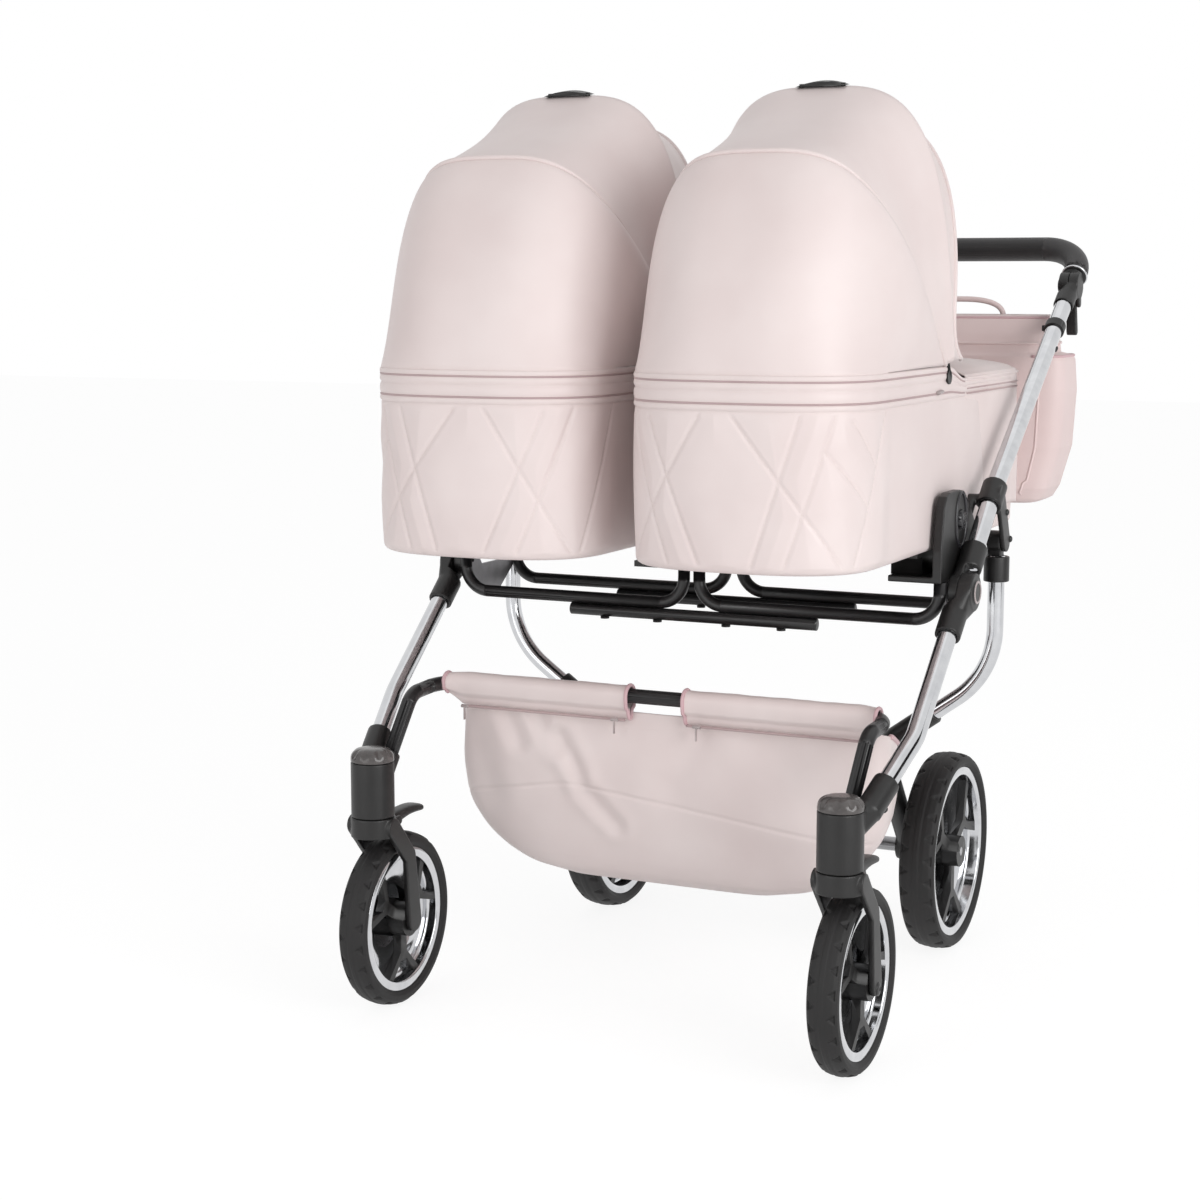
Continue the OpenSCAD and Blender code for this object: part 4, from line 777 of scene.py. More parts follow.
# Lines round the apron's top, by their drop below the edge: its piping and the two sides of its zip
APRON_LINES = {"piping": (0.5, 1.9, pink_leatherette), "zip": (14.0, 1.3, zip_tape), "zip_hem": (20.5, 1.3, zip_tape)}
for side, sign in SIDES.items():
    apron = cloth_grid(f"apron_cover_{side}", at_cot(APRON, sign), [sign * COT_X, 540, RIM_Z - 60])
    apply(apron, "SOLIDIFY", thickness=APRON_T * MM, offset=-1)
    stand_in(apron, pink_leatherette, f"apron_{side}")
    for label, (drop, radius, finish) in APRON_LINES.items():
        edge = np.column_stack([u_path + u_out * (0.9 + (APRON_OUT - 0.5) * u_hold)[:, None], u_rim - drop])
        trim(f"apron_{label}_{side}", at_cot(edge, sign), radius, finish, f"carrycot_{side}", "leatherette", sides=8)
    print(apron.name, len(apron.data.polygons), "faces")

# %% [markdown]
# ## Mattresses
# A mattress is foam in a cotton cover. Its solid is swollen by a short cloth simulation under pressure,
# which rounds the sides and crowns the top as filling does. It is sewn once and copied to the other cot.

# %% Mattresses
PAD_H, PAD_GAP, PAD_SWELL = 32.0, 15.0, 6.0
PAD_VOXEL, PAD_PRESSURE, PAD_FRAMES = 0.006, 4, 20
pad_rows = [(0, -PAD_GAP - 60), (0, -PAD_GAP - 6), (4, -PAD_GAP), (PAD_H - 4, -PAD_GAP), (PAD_H, -PAD_GAP - 6)]
pad_rows += [(PAD_H, -PAD_GAP - 40), (PAD_H, -PAD_GAP - 80), (PAD_H, -146.0)]
pad_rows = [(0, -146.0), *pad_rows]
pad_grid = []
for rise, grow in pad_rows:
    ring = spread(cot_outline(COT_W - TUB_TAPER, grow), 121)
    pad_grid.append(np.column_stack([ring, np.full(len(ring), COT_Z + 8.5 + rise)]))
pad = cloth_grid("mattress_pad_right", np.array(pad_grid) + np.array([COT_X, 0, 0]))
apply(pad, "REMESH", mode="VOXEL", voxel_size=PAD_VOXEL)
rest = np.empty(len(pad.data.vertices) * 3)
pad.data.vertices.foreach_get("co", rest)
use(pad)
cloth = pad.modifiers.new("filling", "CLOTH")
cloth.settings.use_pressure = True
cloth.settings.uniform_pressure_force = PAD_PRESSURE
cloth.settings.effector_weights.gravity = 0
for step in range(1, PAD_FRAMES + 1):
    bpy.context.scene.frame_set(step)
bpy.ops.object.modifier_apply(modifier=cloth.name)
bpy.context.scene.frame_set(1)
swollen = np.empty_like(rest)
pad.data.vertices.foreach_get("co", swollen)
rest, swollen = rest.reshape(-1, 3), swollen.reshape(-1, 3)
move = swollen - rest
reach = np.linalg.norm(move, axis=1, keepdims=True)
move *= np.minimum(1, PAD_SWELL * MM / np.maximum(reach, 1e-9))
move[:, 2] = np.where(rest[:, 2] < (COT_Z + 14) * MM, 0, move[:, 2])
pad.data.vertices.foreach_set("co", (rest + move).ravel())
print("mattress swelled by at most", round(float(np.linalg.norm(move, axis=1).max()) / MM, 1), "mm")
apply(pad, "SUBSURF", levels=1, render_levels=1)
smooth(pad)
twin = into_scene("mattress_pad_left", pad.data.copy())
use(twin)
twin.location.x = -2 * COT_X * MM
bpy.ops.object.transform_apply(location=True, rotation=False, scale=False)
for side, piece in (("right", pad), ("left", twin)):
    stand_in(piece, mattress_cotton, f"mattress_{side}")
print("mattresses", len(pad.data.polygons), "faces each")

# %% [markdown]
# ## Basket
# The basket hangs from a bar in two sleeves, with a gap in the middle where the bar shows, and a zip under
# each sleeve. Below the zip the cloth hangs loose, so it has drag lines from its ends and a seam where the
# floor panel is sewn in. It is a lofted shell: rings of a rounded box that narrow towards the bottom.

# %% The basket's shell
bar_hi = box_mm("basket_bar")[1]
BAR_R = 9.5
BAR_Y, BAR_Z = bar_hi[1] - BAR_R, bar_hi[2] - BAR_R
basket_lo, basket_hi = box_mm("basket")
BASKET_Y0, BASKET_Y1 = BAR_Y + 3, basket_hi[1]
BASKET_LOW, BASKET_TOP = basket_lo[2], BAR_Z - 22
FRONT_HALF, BACK_HALF, BACK_DROP, BASKET_POWER, BASKET_T = 316.0, 245.0, 66.0, 8.0, 2.5
# Height, width and length of the rings, as shares
RING_SHARES = np.array([
    (0.0, 0.5, 0.8), (0.06, 0.7, 0.92), (0.2, 0.86, 0.97), (0.4, 0.97, 0.99), (0.65, 1.0, 1.0), (1.0, 0.99, 1.0),
])
# Creases of the front panel: points across and up, width and depth
CREASES = [
    ([(-143, 348), (-114, 300)], 10, 4.6), ([(-106, 280), (-58, 236)], 10, 3.4), ([(-232, 386), (-205, 335)], 11, 3.0),
    ([(-186, 386), (-150, 330)], 10, 2.5), ([(64, 386), (20, 300)], 24, 3.5), ([(150, 384), (196, 300)], 28, 3.5),
    ([(264, 384), (226, 285)], 22, 4.0), ([(-272, 335), (-246, 262)], 18, 3.0), ([(40, 240), (140, 200)], 30, 2.5),
]
SEAM_AT = ([-290, -271, -130, 4, 153, 230, 300], [258, 262, 286, 272, 254, 245, 240])


def creased(x, z):
    move = np.zeros_like(x)
    for points, width, depth in CREASES:
        near = np.min([line_distance(x, z, pair) for pair in zip(points[:-1], points[1:])], axis=0)
        move += depth * (np.exp(-(near / width) ** 2) - 0.5 * np.exp(-((near - 2 * width) / width) ** 2))
    return move


def ring_share(rise, column):
    # The mean over a short stretch of height rounds the corners of the profile
    marks = rise + np.linspace(-0.07, 0.07, 9) * min(1, 8 * rise)
    return np.mean(np.interp(marks, RING_SHARES[:, 0], RING_SHARES[:, column]))


def basket_ring(rise, wide, long):
    turn = np.linspace(-math.pi / 2, 1.5 * math.pi, 2401)
    x, y = squared(turn, BASKET_POWER)
    half = FRONT_HALF + (BACK_HALF - FRONT_HALF) * (y + 1) / 2
    top = BASKET_TOP - BACK_DROP * (y + 1) / 2
    depth = (BASKET_Y1 - BASKET_Y0) / 2
    low = BASKET_LOW + 3
    ring = np.stack([x * half * wide, BASKET_Y0 + depth + y * depth * long, low + (top - low) * rise], axis=1)
    ring = spread(ring, 421)
    front = np.clip(1 - (ring[:, 1] - BASKET_Y0) / 60, 0, 1)
    belly = 9 * math.sin(math.pi * min(rise * 1.1, 1)) * np.cos(ring[:, 0] / 260) * front
    seam = 1.6 * np.exp(-((ring[:, 2] - np.interp(ring[:, 0], *SEAM_AT)) / 2.4) ** 2)
    ring[:, 1] += -belly + (creased(ring[:, 0], ring[:, 2]) + seam) * front
    return ring


basket_rows = [basket_ring(0.0, s, l) for s, l in ((0.02, 0.02), (0.25, 0.5), (0.45, 0.75))]
for rise in np.linspace(0, 1, 131):
    basket_rows.append(basket_ring(rise, ring_share(rise, 1), ring_share(rise, 2)))
basket = cloth_grid("basket_cloth", np.array(basket_rows), [0, (BASKET_Y0 + BASKET_Y1) / 2, 300])
apply(basket, "SOLIDIFY", thickness=BASKET_T * MM, offset=-1)
print("basket", len(basket.data.polygons), "faces")

# %% Sleeves, zips and bindings
WINDOW, SLEEVE_END, BEND_R, SLEEVE_T = 40.0, 271.0, 45.0, 1.6
ZIP_DROP, ZIP_OUT = 30.0, 9.5
soft_pieces = [(basket, pink_leatherette, ("basket",))]
for label, sign in SIDES.items():
    bend = [
        (SLEEVE_END + BEND_R * math.sin(a), BAR_Y - BEND_R * (1 - math.cos(a)), BAR_Z) for a in np.linspace(0, 0.8, 14)
    ]
    line = np.array([(x, BAR_Y, BAR_Z) for x in np.linspace(WINDOW, SLEEVE_END, 60)[:-1]] + bend)
    turn = turns(49)
    grid = []
    for x, y, z in line:
        slack = 0.8 * math.sin(x / 13) + 0.5 * math.sin(x / 5.3)
        drop = np.where(np.sin(turn) < 0, ZIP_DROP * np.clip((SLEEVE_END + 45 - x) / 30, 0.4, 1), BAR_R + 4.3)
        ring_y = y + np.cos(turn) * (BAR_R + 4.3 + 0.4 * slack) * np.where(np.sin(turn) < -0.6, 0.55, 1)
        grid.append(np.column_stack([np.full(len(turn), x), ring_y - 1.5, z + np.sin(turn) * (drop + 0.3 * slack)]))
    sleeve = cloth_grid(f"basket_sleeve_{label}", mirror_x(np.array(grid), sign), [sign * 150, BAR_Y, BAR_Z])
    apply(sleeve, "SOLIDIFY", thickness=SLEEVE_T * MM, offset=-1)
    soft_pieces.append((sleeve, pink_leatherette, ()))
    for where, ring in (("inner", grid[0]), ("outer", grid[-1])):
        binding = sweep(f"basket_binding_{where}_{label}", mirror_x(ring, sign), 2.6, sides=8)
        soft_pieces.append((binding, binding_tape, ()))
    zip_x = np.linspace(WINDOW + 4, SLEEVE_END + 10, 60)
    zip_line = mirror_x([(x, BAR_Y - ZIP_OUT, BAR_Z - ZIP_DROP - 1) for x in zip_x], sign)
    zip_coil = sweep(f"basket_zip_{label}", zip_line, 3.0, sides=10, flat=0.6)
    soft_pieces.append((zip_coil, zip_tape, ()))
PULLERS = {"left": -57.0, "right": 59.0, "end": -279.0}
for label, x in PULLERS.items():
    y, z = BAR_Y - 12.0, BAR_Z - ZIP_DROP - 1
    slider = sweep(f"basket_slider_{label}", [(x + t, y, z) for t in (-5, -4, 4, 5)], 3.4, flat=0.7)
    tab = sweep(f"basket_puller_{label}", [(x, y - 2, z - t) for t in (0, 1, 6, 12, 17, 18)], 2.6, flat=0.4)
    soft_pieces += [(slider, zip_metal, ()), (tab, zip_metal, ())]
rim_path = np.array([point for point in basket_rows[-1] if point[1] > BASKET_Y0 + 40])
soft_pieces.append((sweep("basket_rim_binding", rim_path, 3.4, sides=10), binding_tape, ()))
# The sleeves stay on the bar; the cloth below the zip and its rim binding get meshes of their own
FOLDS = ("basket_cloth", "basket_rim_binding")
for piece, finish, stands_for in soft_pieces:
    dress(piece, finish, "front_frame", "leatherette", *stands_for)
    if piece.name in FOLDS:
        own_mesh(piece)
print(len(soft_pieces), "basket pieces")

# %% [markdown]
# ## Bag
# The bag hangs between the handle tubes: a lined box of leatherette with a flap along its top, a pocket at
# each end and two rolled loops. A bag sags, so its rings are widest below the middle and its floor rounds.

# %% Bag
BAG_W, BAG_Y, BAG_D, BAG_TOP, BAG_H = 692.0, 779.0, 128.0, 896.0, 272.0
POCKET_OUT = 24.0
# Height, depth and reach of the end pockets, as shares
BAG_RINGS = [
    (0.0, 0.3, -3.0), (0.0, 0.8, -0.9), (0.006, 0.88, -0.6), (0.02, 0.94, -0.3), (0.08, 1.0, 0.1), (0.3, 1.0, 0.8),
    (0.6, 0.98, 1.0), (0.76, 0.93, 0.88), (0.785, 0.92, 0.75), (0.8, 0.88, 0.0), (0.84, 0.86, -0.05), (0.9, 0.8, -0.07),
    (0.97, 0.7, -0.1), (0.99, 0.62, -0.3), (1.0, 0.5, -0.5), (1.0, 0.2, -2.0),
]


def bag_ring(height, depth, reach):
    turn = np.linspace(-math.pi / 2, 1.5 * math.pi, 1801)
    x, y = squared(turn, 7.0)
    ring = np.stack([x * (BAG_W / 2 + POCKET_OUT * reach), BAG_Y + y * BAG_D / 2 * depth], axis=1)
    ring = spread(ring, 321)
    z = np.full(len(ring), BAG_TOP - BAG_H * (1 - height))
    face = np.clip(1 - (np.abs(ring[:, 0]) / (BAG_W / 2 - 20)) ** 6, 0, 1)
    sag = 4.5 * math.sin(math.pi * min(height * 1.2, 1)) * np.cos(ring[:, 0] / 190) * face
    folds = 1.5 * np.sin(ring[:, 0] / 28 + 3 * height) * math.sin(math.pi * min(height * 1.25, 1)) * face
    ring[:, 1] += np.sign(ring[:, 1] - BAG_Y) * (sag + folds) * 0.5
    droop = 3.0 * np.cos(ring[:, 0] / 110) * (height > 0.95) * face
    return np.column_stack([ring, z - np.maximum(droop, 0)])


heights = np.array([r[0] for r in BAG_RINGS]) + np.arange(len(BAG_RINGS)) * 1e-6


def bag_level(height):
    return bag_ring(height, *[np.interp(height, heights, [r[k] for r in BAG_RINGS]) for k in (1, 2)])


def bag_trim(name, path, radius, finish=bag_leatherette, sides=8):
    return trim(name, path, radius, finish, "upper_frame", "bag_leatherette", sides)


bag_rows = [bag_ring(*BAG_RINGS[0])]
for height in np.unique(np.concatenate([heights, np.linspace(0.03, 0.98, 80)])):
    bag_rows.append(bag_level(height))
bag = cloth_grid("bag_shell", np.array(bag_rows))
stand_in(bag, bag_leatherette, "bag")


def bag_line(height, out, name, radius, finish):
    ring = bag_level(height)
    middle = np.array([0, BAG_Y, 0])
    away = (ring - middle) * np.array([0.3, 1, 0])
    away /= np.maximum(np.linalg.norm(away, axis=1, keepdims=True), 1e-6)
    return bag_trim(name, ring + away * out, radius, finish)


bag_line(0.85, 0.6, "bag_flap_edge", 2.2, bag_leatherette)
corner_heights = np.linspace(0.05, 0.78, 60)
for side, end in SIDES.items():
    for face in (-1, 1):
        corner = []
        for height in corner_heights:
            ring = bag_level(height)
            corner.append(ring[np.argmax(end * ring[:, 0] / BAG_W + face * (ring[:, 1] - BAG_Y) / BAG_D)])
        bag_trim(f"bag_corner_{side}_{'front' if face < 0 else 'back'}", corner, 1.7)
    ring = bag_ring(0.783, 0.92, 0.76)
    mouth_line = np.array([q for q in np.roll(ring[:-1], 80 * (end < 0) * 2, axis=0) if end * q[0] > BAG_W / 2 - 24])
    bag_trim(f"bag_pocket_edge_{side}", mouth_line, 2.2, binding_tape)
bag_line(0.985, 0.8, "bag_top_piping", 2.0, binding_tape)
LOOP_X, LOOP_HALF, LOOP_RISE = 200.7, 65.0, 22.0
for side, sign in SIDES.items():
    turn = np.linspace(0, math.pi, 41)
    x, rise = squared(turn, 2.6)
    path = np.stack([
        sign * LOOP_X + x * LOOP_HALF, np.full(len(turn), BAG_Y), BAG_TOP - 5 + rise * (LOOP_RISE + 5)
    ], axis=1)
    bag_trim(f"bag_loop_{side}", path, 4.0, sides=12)
print(bag.name, len(bag.data.polygons), "faces, and its trim")

# %% [markdown]
# ## Tyres
# The tyres are foamed rubber with a flat ridge round the middle of the tread and small arrow-shaped nicks on
# both shoulders. A nick is a dent in the surface, so each tyre is spun anew as a fine grid with the dents in.

# %% Tyres
def circle(middle, axis, radius, count=65, long=1.0):
    axis = unit(np.array(axis, float))
    side = unit(np.cross(axis, [1, 0, 0] if abs(axis[0]) < 0.9 else [0, 1, 0]))
    other = np.cross(axis, side)
    turn = turns(count)
    return np.array(middle) + radius * (long * np.outer(np.cos(turn), side) + np.outer(np.sin(turn), other))


TYRE_SHARES = [(0.0, 0.42), (0.3, 0.5), (0.62, 0.49), (0.86, 0.38), (0.95, 0.22), (0.955, 0.1), (1.0, 0.06)]
TYRE_WALL, NICK_DEPTH, TREAD_FROM = 19.0, 2.6, 0.76
NICKS = {"front": 24, "rear": 28}
BAND_HALF, BAND_SUNK = 3.4, 0.9


def tyre_grid(hub, radius, width, nicks):
    half = [(radius - TYRE_WALL * (1 - rise), reach * width) for rise, reach in TYRE_SHARES]
    section = spread(half + [(r, -x) for r, x in half[::-1]], 65)
    turn = turns(529)
    r, x = np.meshgrid(section[:, 0], turn, indexing="ij")[0], np.repeat(section[:, 1][:, None], len(turn), axis=1)
    pitch = 2 * math.pi / nicks
    shift = np.where(x > 0, 0, 0.5)
    along = (np.mod(turn[None, :] / pitch + shift, 1) - 0.5) * pitch * radius
    reach = np.clip((np.abs(x) / width - 0.2) / 0.22, 0, 1)
    on_tread = r > radius - TYRE_WALL * (1 - TREAD_FROM)
    inside = np.clip((6.5 * reach - np.abs(along)) / 0.8, 0, 1) * (reach > 0.02) * on_tread
    r = r - NICK_DEPTH * inside
    points = np.stack([hub[0] + x, hub[1] + r * np.sin(turn)[None, :], hub[2] + r * np.cos(turn)[None, :]], axis=2)
    return np.concatenate([points, points[:1]])


for end, side in WHEELS:
    lo, hi = box_mm(f"{end}_tyre_{side}")
    hub, radius = (lo + hi) / 2, (hi[2] - lo[2]) / 2
    tyre = cloth_grid(f"{end}_tyre_tread_{side}", tyre_grid(hub, radius, hi[0] - lo[0], NICKS[end]))
    stand_in(tyre, tyre_rubber, f"{end}_tyre_{side}")
    ridge = circle(hub, [1, 0, 0], radius - BAND_SUNK, 193)
    wheel = f"{end}_wheel_{side}"
    trim(f"{end}_tread_band_{side}", ridge, BAND_HALF, worn_rubber, wheel, "tyre_rubber", sides=10, flat=0.25)
    print(tyre.name, len(tyre.data.polygons), "faces")

# %% [markdown]
# ## Rims and caster caps
# A rim is a turned and plated ring with a thin dish behind the spokes. Turned parts are a section that is spun
# round an axis, with the edges rounded as polishing leaves them. The caps on the casters are spun too, and their
# flanks are fluted for the fingers.

# %% Rims
RING_DEPTH, HUB_R = 13.0, 22.3


def spun(section, middle, columns=145):
    section = np.asarray(section, float)
    turn = turns(columns)
    r, x = section[:, 0][:, None], section[:, 1][:, None]
    flat = np.ones_like(turn)[None, :]
    return np.stack([middle[0] + x * flat, middle[1] + r * np.sin(turn), middle[2] + r * np.cos(turn)], axis=2)


for end, side in WHEELS:
    lo, hi = box_mm(f"{end}_rim_{side}")
    out, half = (hi[2] - lo[2]) / 2, (hi[0] - lo[0]) / 2
    lip = out - RING_DEPTH
    section = [(HUB_R, 2), (lip - 7, 2), (lip - 3, 2.4), (lip - 1, 3.6), (lip, 6), (lip + 0.4, half - 2.5)]
    section += [(lip + 1, half - 0.8), (lip + 2.4, half), (out - 1.5, half)]
    section += [(out - 0.3, half - 0.6), (out, half - 1.8)]
    section += [(r, -x) for r, x in section[::-1]]
    rim = cloth_grid(f"{end}_rim_polished_{side}", spun(section + section[:1], (lo + hi) / 2))
    stand_in(rim, chrome_plate, f"{end}_rim_{side}")
    print(rim.name, len(rim.data.polygons), "faces")

# %% Caster caps
FLUTES, FLUTE_DEPTH = 9, 0.09
cap_lo, cap_hi = box_mm("caster_caps")
cap_r, cap_h = (cap_hi[1] - cap_lo[1]) / 2, cap_hi[2] - cap_lo[2]
# Radius and height of the rings, as shares, and how much of a flute each has
CAP_RINGS = [(0, 0, 0), (0.99, 0, 0), (1, 0.04, 0), (1, 0.3, 0), (0.99, 0.42, 0.5), (0.95, 0.6, 1), (0.86, 0.78, 1)]
CAP_RINGS += [(0.7, 0.92, 0.7), (0.5, 0.985, 0.3), (0.25, 1, 0), (0, 1, 0)]
cap_turn = turns(181)
for side, sign in SIDES.items():
    middle = np.array([sign * (cap_hi[0] - cap_r), (cap_lo[1] + cap_hi[1]) / 2, cap_lo[2]])
    grid = []
    for wide, high, flute in CAP_RINGS:
        r = cap_r * wide * (1 - FLUTE_DEPTH * flute * (0.5 + 0.5 * np.cos(FLUTES * cap_turn)) ** 3)
        grid.append(middle + np.stack([r * np.cos(cap_turn), r * np.sin(cap_turn), np.full(181, high * cap_h)], axis=1))
    cap = cloth_grid(f"caster_cap_{side}", np.array(grid))
    apply(cap, "SUBSURF", levels=1, render_levels=1)
    stand_in(cap, smoky_cap, "caster_caps")
print("caps", len(cap.data.polygons), "faces each")

# %% [markdown]
# ## Bent tubes and lock levers
# The chrome tubes are swept again along their own centre lines, with rings a few millimetres apart, so that the
# reflections run through the bends without a break. The lock levers are lofted from rounded sections: thick at
# the pin, slim in the middle and wide at the tip that a foot lifts.

# %% Bent tubes
TUBE_R, REAR_TUBE_R, TUBE_SIDES, TUBE_STEP = 12.0, 11.0, 48, 4.0
FRAME_X = box_mm("handle_tubes")[1][0] - TUBE_R
FOLD_AT, TILT_AT, KNUCKLE_AT = [
    np.array([FRAME_X, *joint_mm(name)[1:]]) for name in ("front_leg_fold", "handle_tilt", "rear_leg_fold")
]
# Lengths along the tubes: necks inside the joints, from a joint to a bend, and from a bend to the end
NECK, TILT_NECK, KNUCKLE_NECK = 38.0, 26.0, 20.0
LEG_UPPER, LEG_LOWER, HANDLE_LOWER, REAR_UPPER, REAR_LOWER = 239.0, 124.0, 183.0, 179.0, 134.0
LEG_BEND_R, HANDLE_BEND_R, REAR_BEND_R = 90.0, 400.0, 120.0


def heading(pitch, toe=0.0):
    pitch, toe = math.radians(pitch), math.radians(toe)
    return np.array([math.cos(pitch) * math.sin(toe), math.cos(pitch) * math.cos(toe), math.sin(pitch)])


def bent(start, corner, end, radius):
    into, out = unit(corner - start), unit(end - corner)
    turn = math.acos(np.dot(into, out))
    normal = (out - into * math.cos(turn)) / math.sin(turn)
    first = corner - into * radius * math.tan(turn / 2)
    angles = np.linspace(0, turn, 33)
    arc = first + radius * (np.outer(np.sin(angles), into) + np.outer(1 - np.cos(angles), normal))
    path = np.concatenate([[start], arc, [end]])
    return spread(path, int(lengths(path).sum() / TUBE_STEP))


slope, leg_way, rear_angle = heading(40.5), heading(34.3, 12.6), math.radians(36)
leg_bend, handle_bend = FOLD_AT - LEG_UPPER * slope, FOLD_AT + HANDLE_LOWER * slope
handle_way = unit(TILT_AT - handle_bend)
rear_bend = KNUCKLE_AT - np.array([0, 0, REAR_UPPER])
rear_way = np.array([-math.cos(rear_angle), 0, -math.sin(rear_angle)])
leg_path = bent(leg_bend - LEG_LOWER * leg_way, leg_bend, FOLD_AT - NECK * slope, LEG_BEND_R)
handle_path = bent(FOLD_AT + NECK * slope, handle_bend, TILT_AT - TILT_NECK * handle_way, HANDLE_BEND_R)
rear_start = KNUCKLE_AT - np.array([0, 0, KNUCKLE_NECK])
rear_path = bent(rear_start, rear_bend, rear_bend + REAR_LOWER * rear_way, REAR_BEND_R)
TUBES = {
    "front_legs": (leg_path, TUBE_R), "handle_tubes": (handle_path, TUBE_R), "rear_legs": (rear_path, REAR_TUBE_R),
}
for name, (path, radius) in TUBES.items():
    for side, sign in SIDES.items():
        tube = sweep(f"{name}_tube_{side}", mirror_x(path, sign), radius, TUBE_SIDES)
        stand_in(tube, chrome_plate, name)
    lo, hi = box_mm(name)
    print(tube.name, len(tube.data.polygons), "faces, node's box", np.round(lo), np.round(hi))

# %% Lock levers
# Share of the length, half the width and half the height there, and how far the middle is raised
LEVER = [
    (0.0, 0.0, 0.0, 0.0), (0.0, 8.0, 4.0, 0.0), (0.02, 11.5, 6.5, 0.0), (0.1, 13.0, 8.5, 0.0), (0.25, 12.0, 8.5, 1.0),
    (0.45, 11.0, 7.0, 3.0), (0.65, 12.0, 6.0, 4.0), (0.85, 13.5, 5.5, 3.0), (0.95, 12.5, 5.0, 1.5),
    (0.99, 9.5, 3.5, 1.0), (1.0, 5.0, 2.0, 1.0), (1.0, 0.0, 0.0, 1.0),
]
wide, high = squared(turns(33), 2.8)
for side in SIDES:
    name = f"lock_lever_{side}"
    lo, hi = box_mm(name)
    middle = (lo + hi) / 2
    grid = [
        np.stack([
            middle[0] + half_w * wide, np.full(33, lo[1] + share * (hi[1] - lo[1])), middle[2] + rise + half_h * high
        ], axis=1)
        for share, half_w, half_h, rise in LEVER
    ]
    lever = cloth_grid(f"lock_lever_grip_{side}", np.array(grid))
    apply(lever, "SUBSURF", levels=1, render_levels=1)
    stand_in(lever, black_nylon, name)
print("levers", len(lever.data.polygons), "faces each")

# %% [markdown]
# ## Moulded joints
# A moulded part has no knife edges: the mould's corners are rounded by a millimetre or two. A copy of each
# joint is rebuilt as an even skin and smoothed a little, which rounds every edge and leaves the form. Rounding
# closes narrow bores too, so the room that a button needs is cut out again.

# %% Round the moulded parts
VOXEL = 0.0012
MOULDED = ["handle_joints", "fold_joint_sleeves", "leg_brackets", "outer_adaptors", "fold_joint_covers"]
MOULDED += ["caster_sockets", "rear_leg_sleeves", "handle_arms", "brake_pedal"]
MOULDED += [f"{part}_{side}" for part in ("fork", "fold_trigger") for side in SIDES]
BUTTONS = {"outer_adaptors": "release_button", "handle_arms": "handle_button"}
BUTTON_GAP, BUTTON_STOP = 0.0006, 0.0006


def copy_of(name, ending):
    piece = into_scene(f"{name}_{ending}", nodes[name].data.copy())
    merge(piece)
    return piece


def leave_room(piece, button):
    # Cut away the space that a button fills at rest, pressed and in between
    joint = joint_of(f"{button}_press")
    corners = np.array([v.co for v in nodes[button].data.vertices])
    corners = np.concatenate([corners, corners + np.array(joint["axis"]) * (joint["range_m"][1] + BUTTON_STOP)])
    low, high = corners.min(axis=0), corners.max(axis=0)
    corners = (low + high) / 2 + (corners - (low + high) / 2) * (1 + 2 * BUTTON_GAP / (high - low))
    cutter = from_corners("button_room", corners)
    edit(cutter, bpy.ops.mesh.convex_hull)
    apply(piece, "BOOLEAN", object=cutter, operation="DIFFERENCE", solver="EXACT")
    bpy.data.objects.remove(cutter)


for name in MOULDED:
    piece = copy_of(name, "moulded")
    apply(piece, "REMESH", mode="VOXEL", voxel_size=VOXEL)
    apply(piece, "SMOOTH", factor=0.5, iterations=5)
    apply(piece, "DECIMATE", ratio=0.35)
    for side in SIDES if name in BUTTONS else ():
        leave_room(piece, f"{BUTTONS[name]}_{side}")
    stand_in(smooth(piece), black_nylon, name)
    print(piece.name, len(piece.data.polygons), "faces")

# %% [markdown]
# ## The parts that are left
# CAD meshes are facets, and a gloss shows every facet as a flat stripe. A copy of each part that still shows
# gets its corners merged and its small angles shaded smooth, so that a highlight runs round it unbroken.

# %% Smooth the parts that still show
SMOOTH_UNDER = math.radians(32)
BOW_SPRING, SPRING_FROM, SPRING_BELOW = 11.0, 0.012, 0.03


def spring_in(piece, middle):
    # The legs of a hood's bow spring inwards, clear of the cloth that lags behind them as the hood folds
    corners = np.array([v.co for v in piece.data.vertices])
    low, high = PIVOT_Z * MM + SPRING_FROM, corners[:, 2].max() - SPRING_BELOW
    share = np.sin(math.pi * np.clip((corners[:, 2] - low) / (high - low), 0, 1)) ** 0.7
    corners[:, 0] -= np.sign(corners[:, 0] - middle * MM) * BOW_SPRING * MM * share
    piece.data.vertices.foreach_set("co", corners.ravel())
    piece.data.update()


for name, node in nodes.items():
    if node.hide_render:
        continue
    piece = copy_of(name, "smooth")
    if name.startswith("hood_bow"):
        spring_in(piece, COT_X if name.endswith("right") else -COT_X)
    use(piece)
    bpy.ops.object.shade_smooth_by_angle(angle=SMOOTH_UNDER)
    stand_in(piece, finish_of[slot_of[name]], name)
    print(piece.name, len(piece.data.polygons), "faces")

# %% [markdown]
# ## Rivets, rings and lips
# Small fittings make a frame look real: round-headed rivets hold the sleeves to the tubes, a bright ring ends
# the grip, and a raised lip runs round the recess of each release button. Every rivet is seated on the surface
# that carries it: the nearest point of the CAD mesh gives its place, and the face there gives its direction.

# %% Rivets
RIVET = [(0.0, 0.55), (0.28, 0.55), (0.36, 0.95), (0.62, 0.86), (0.85, 0.56), (1.0, 0.15), (1.0, -0.4), (0.0, -0.4)]
RIVET_SIDES = 20


def seat(node, place):
    mesh = nodes[node].data
    corners = [v.co for v in mesh.vertices]
    tree = BVHTree.FromPolygons(corners, [tuple(f.vertices) for f in mesh.polygons])
    point, normal = tree.find_nearest(Vector(to_frame(place)))[:2]
    return np.array(point), np.array(normal)


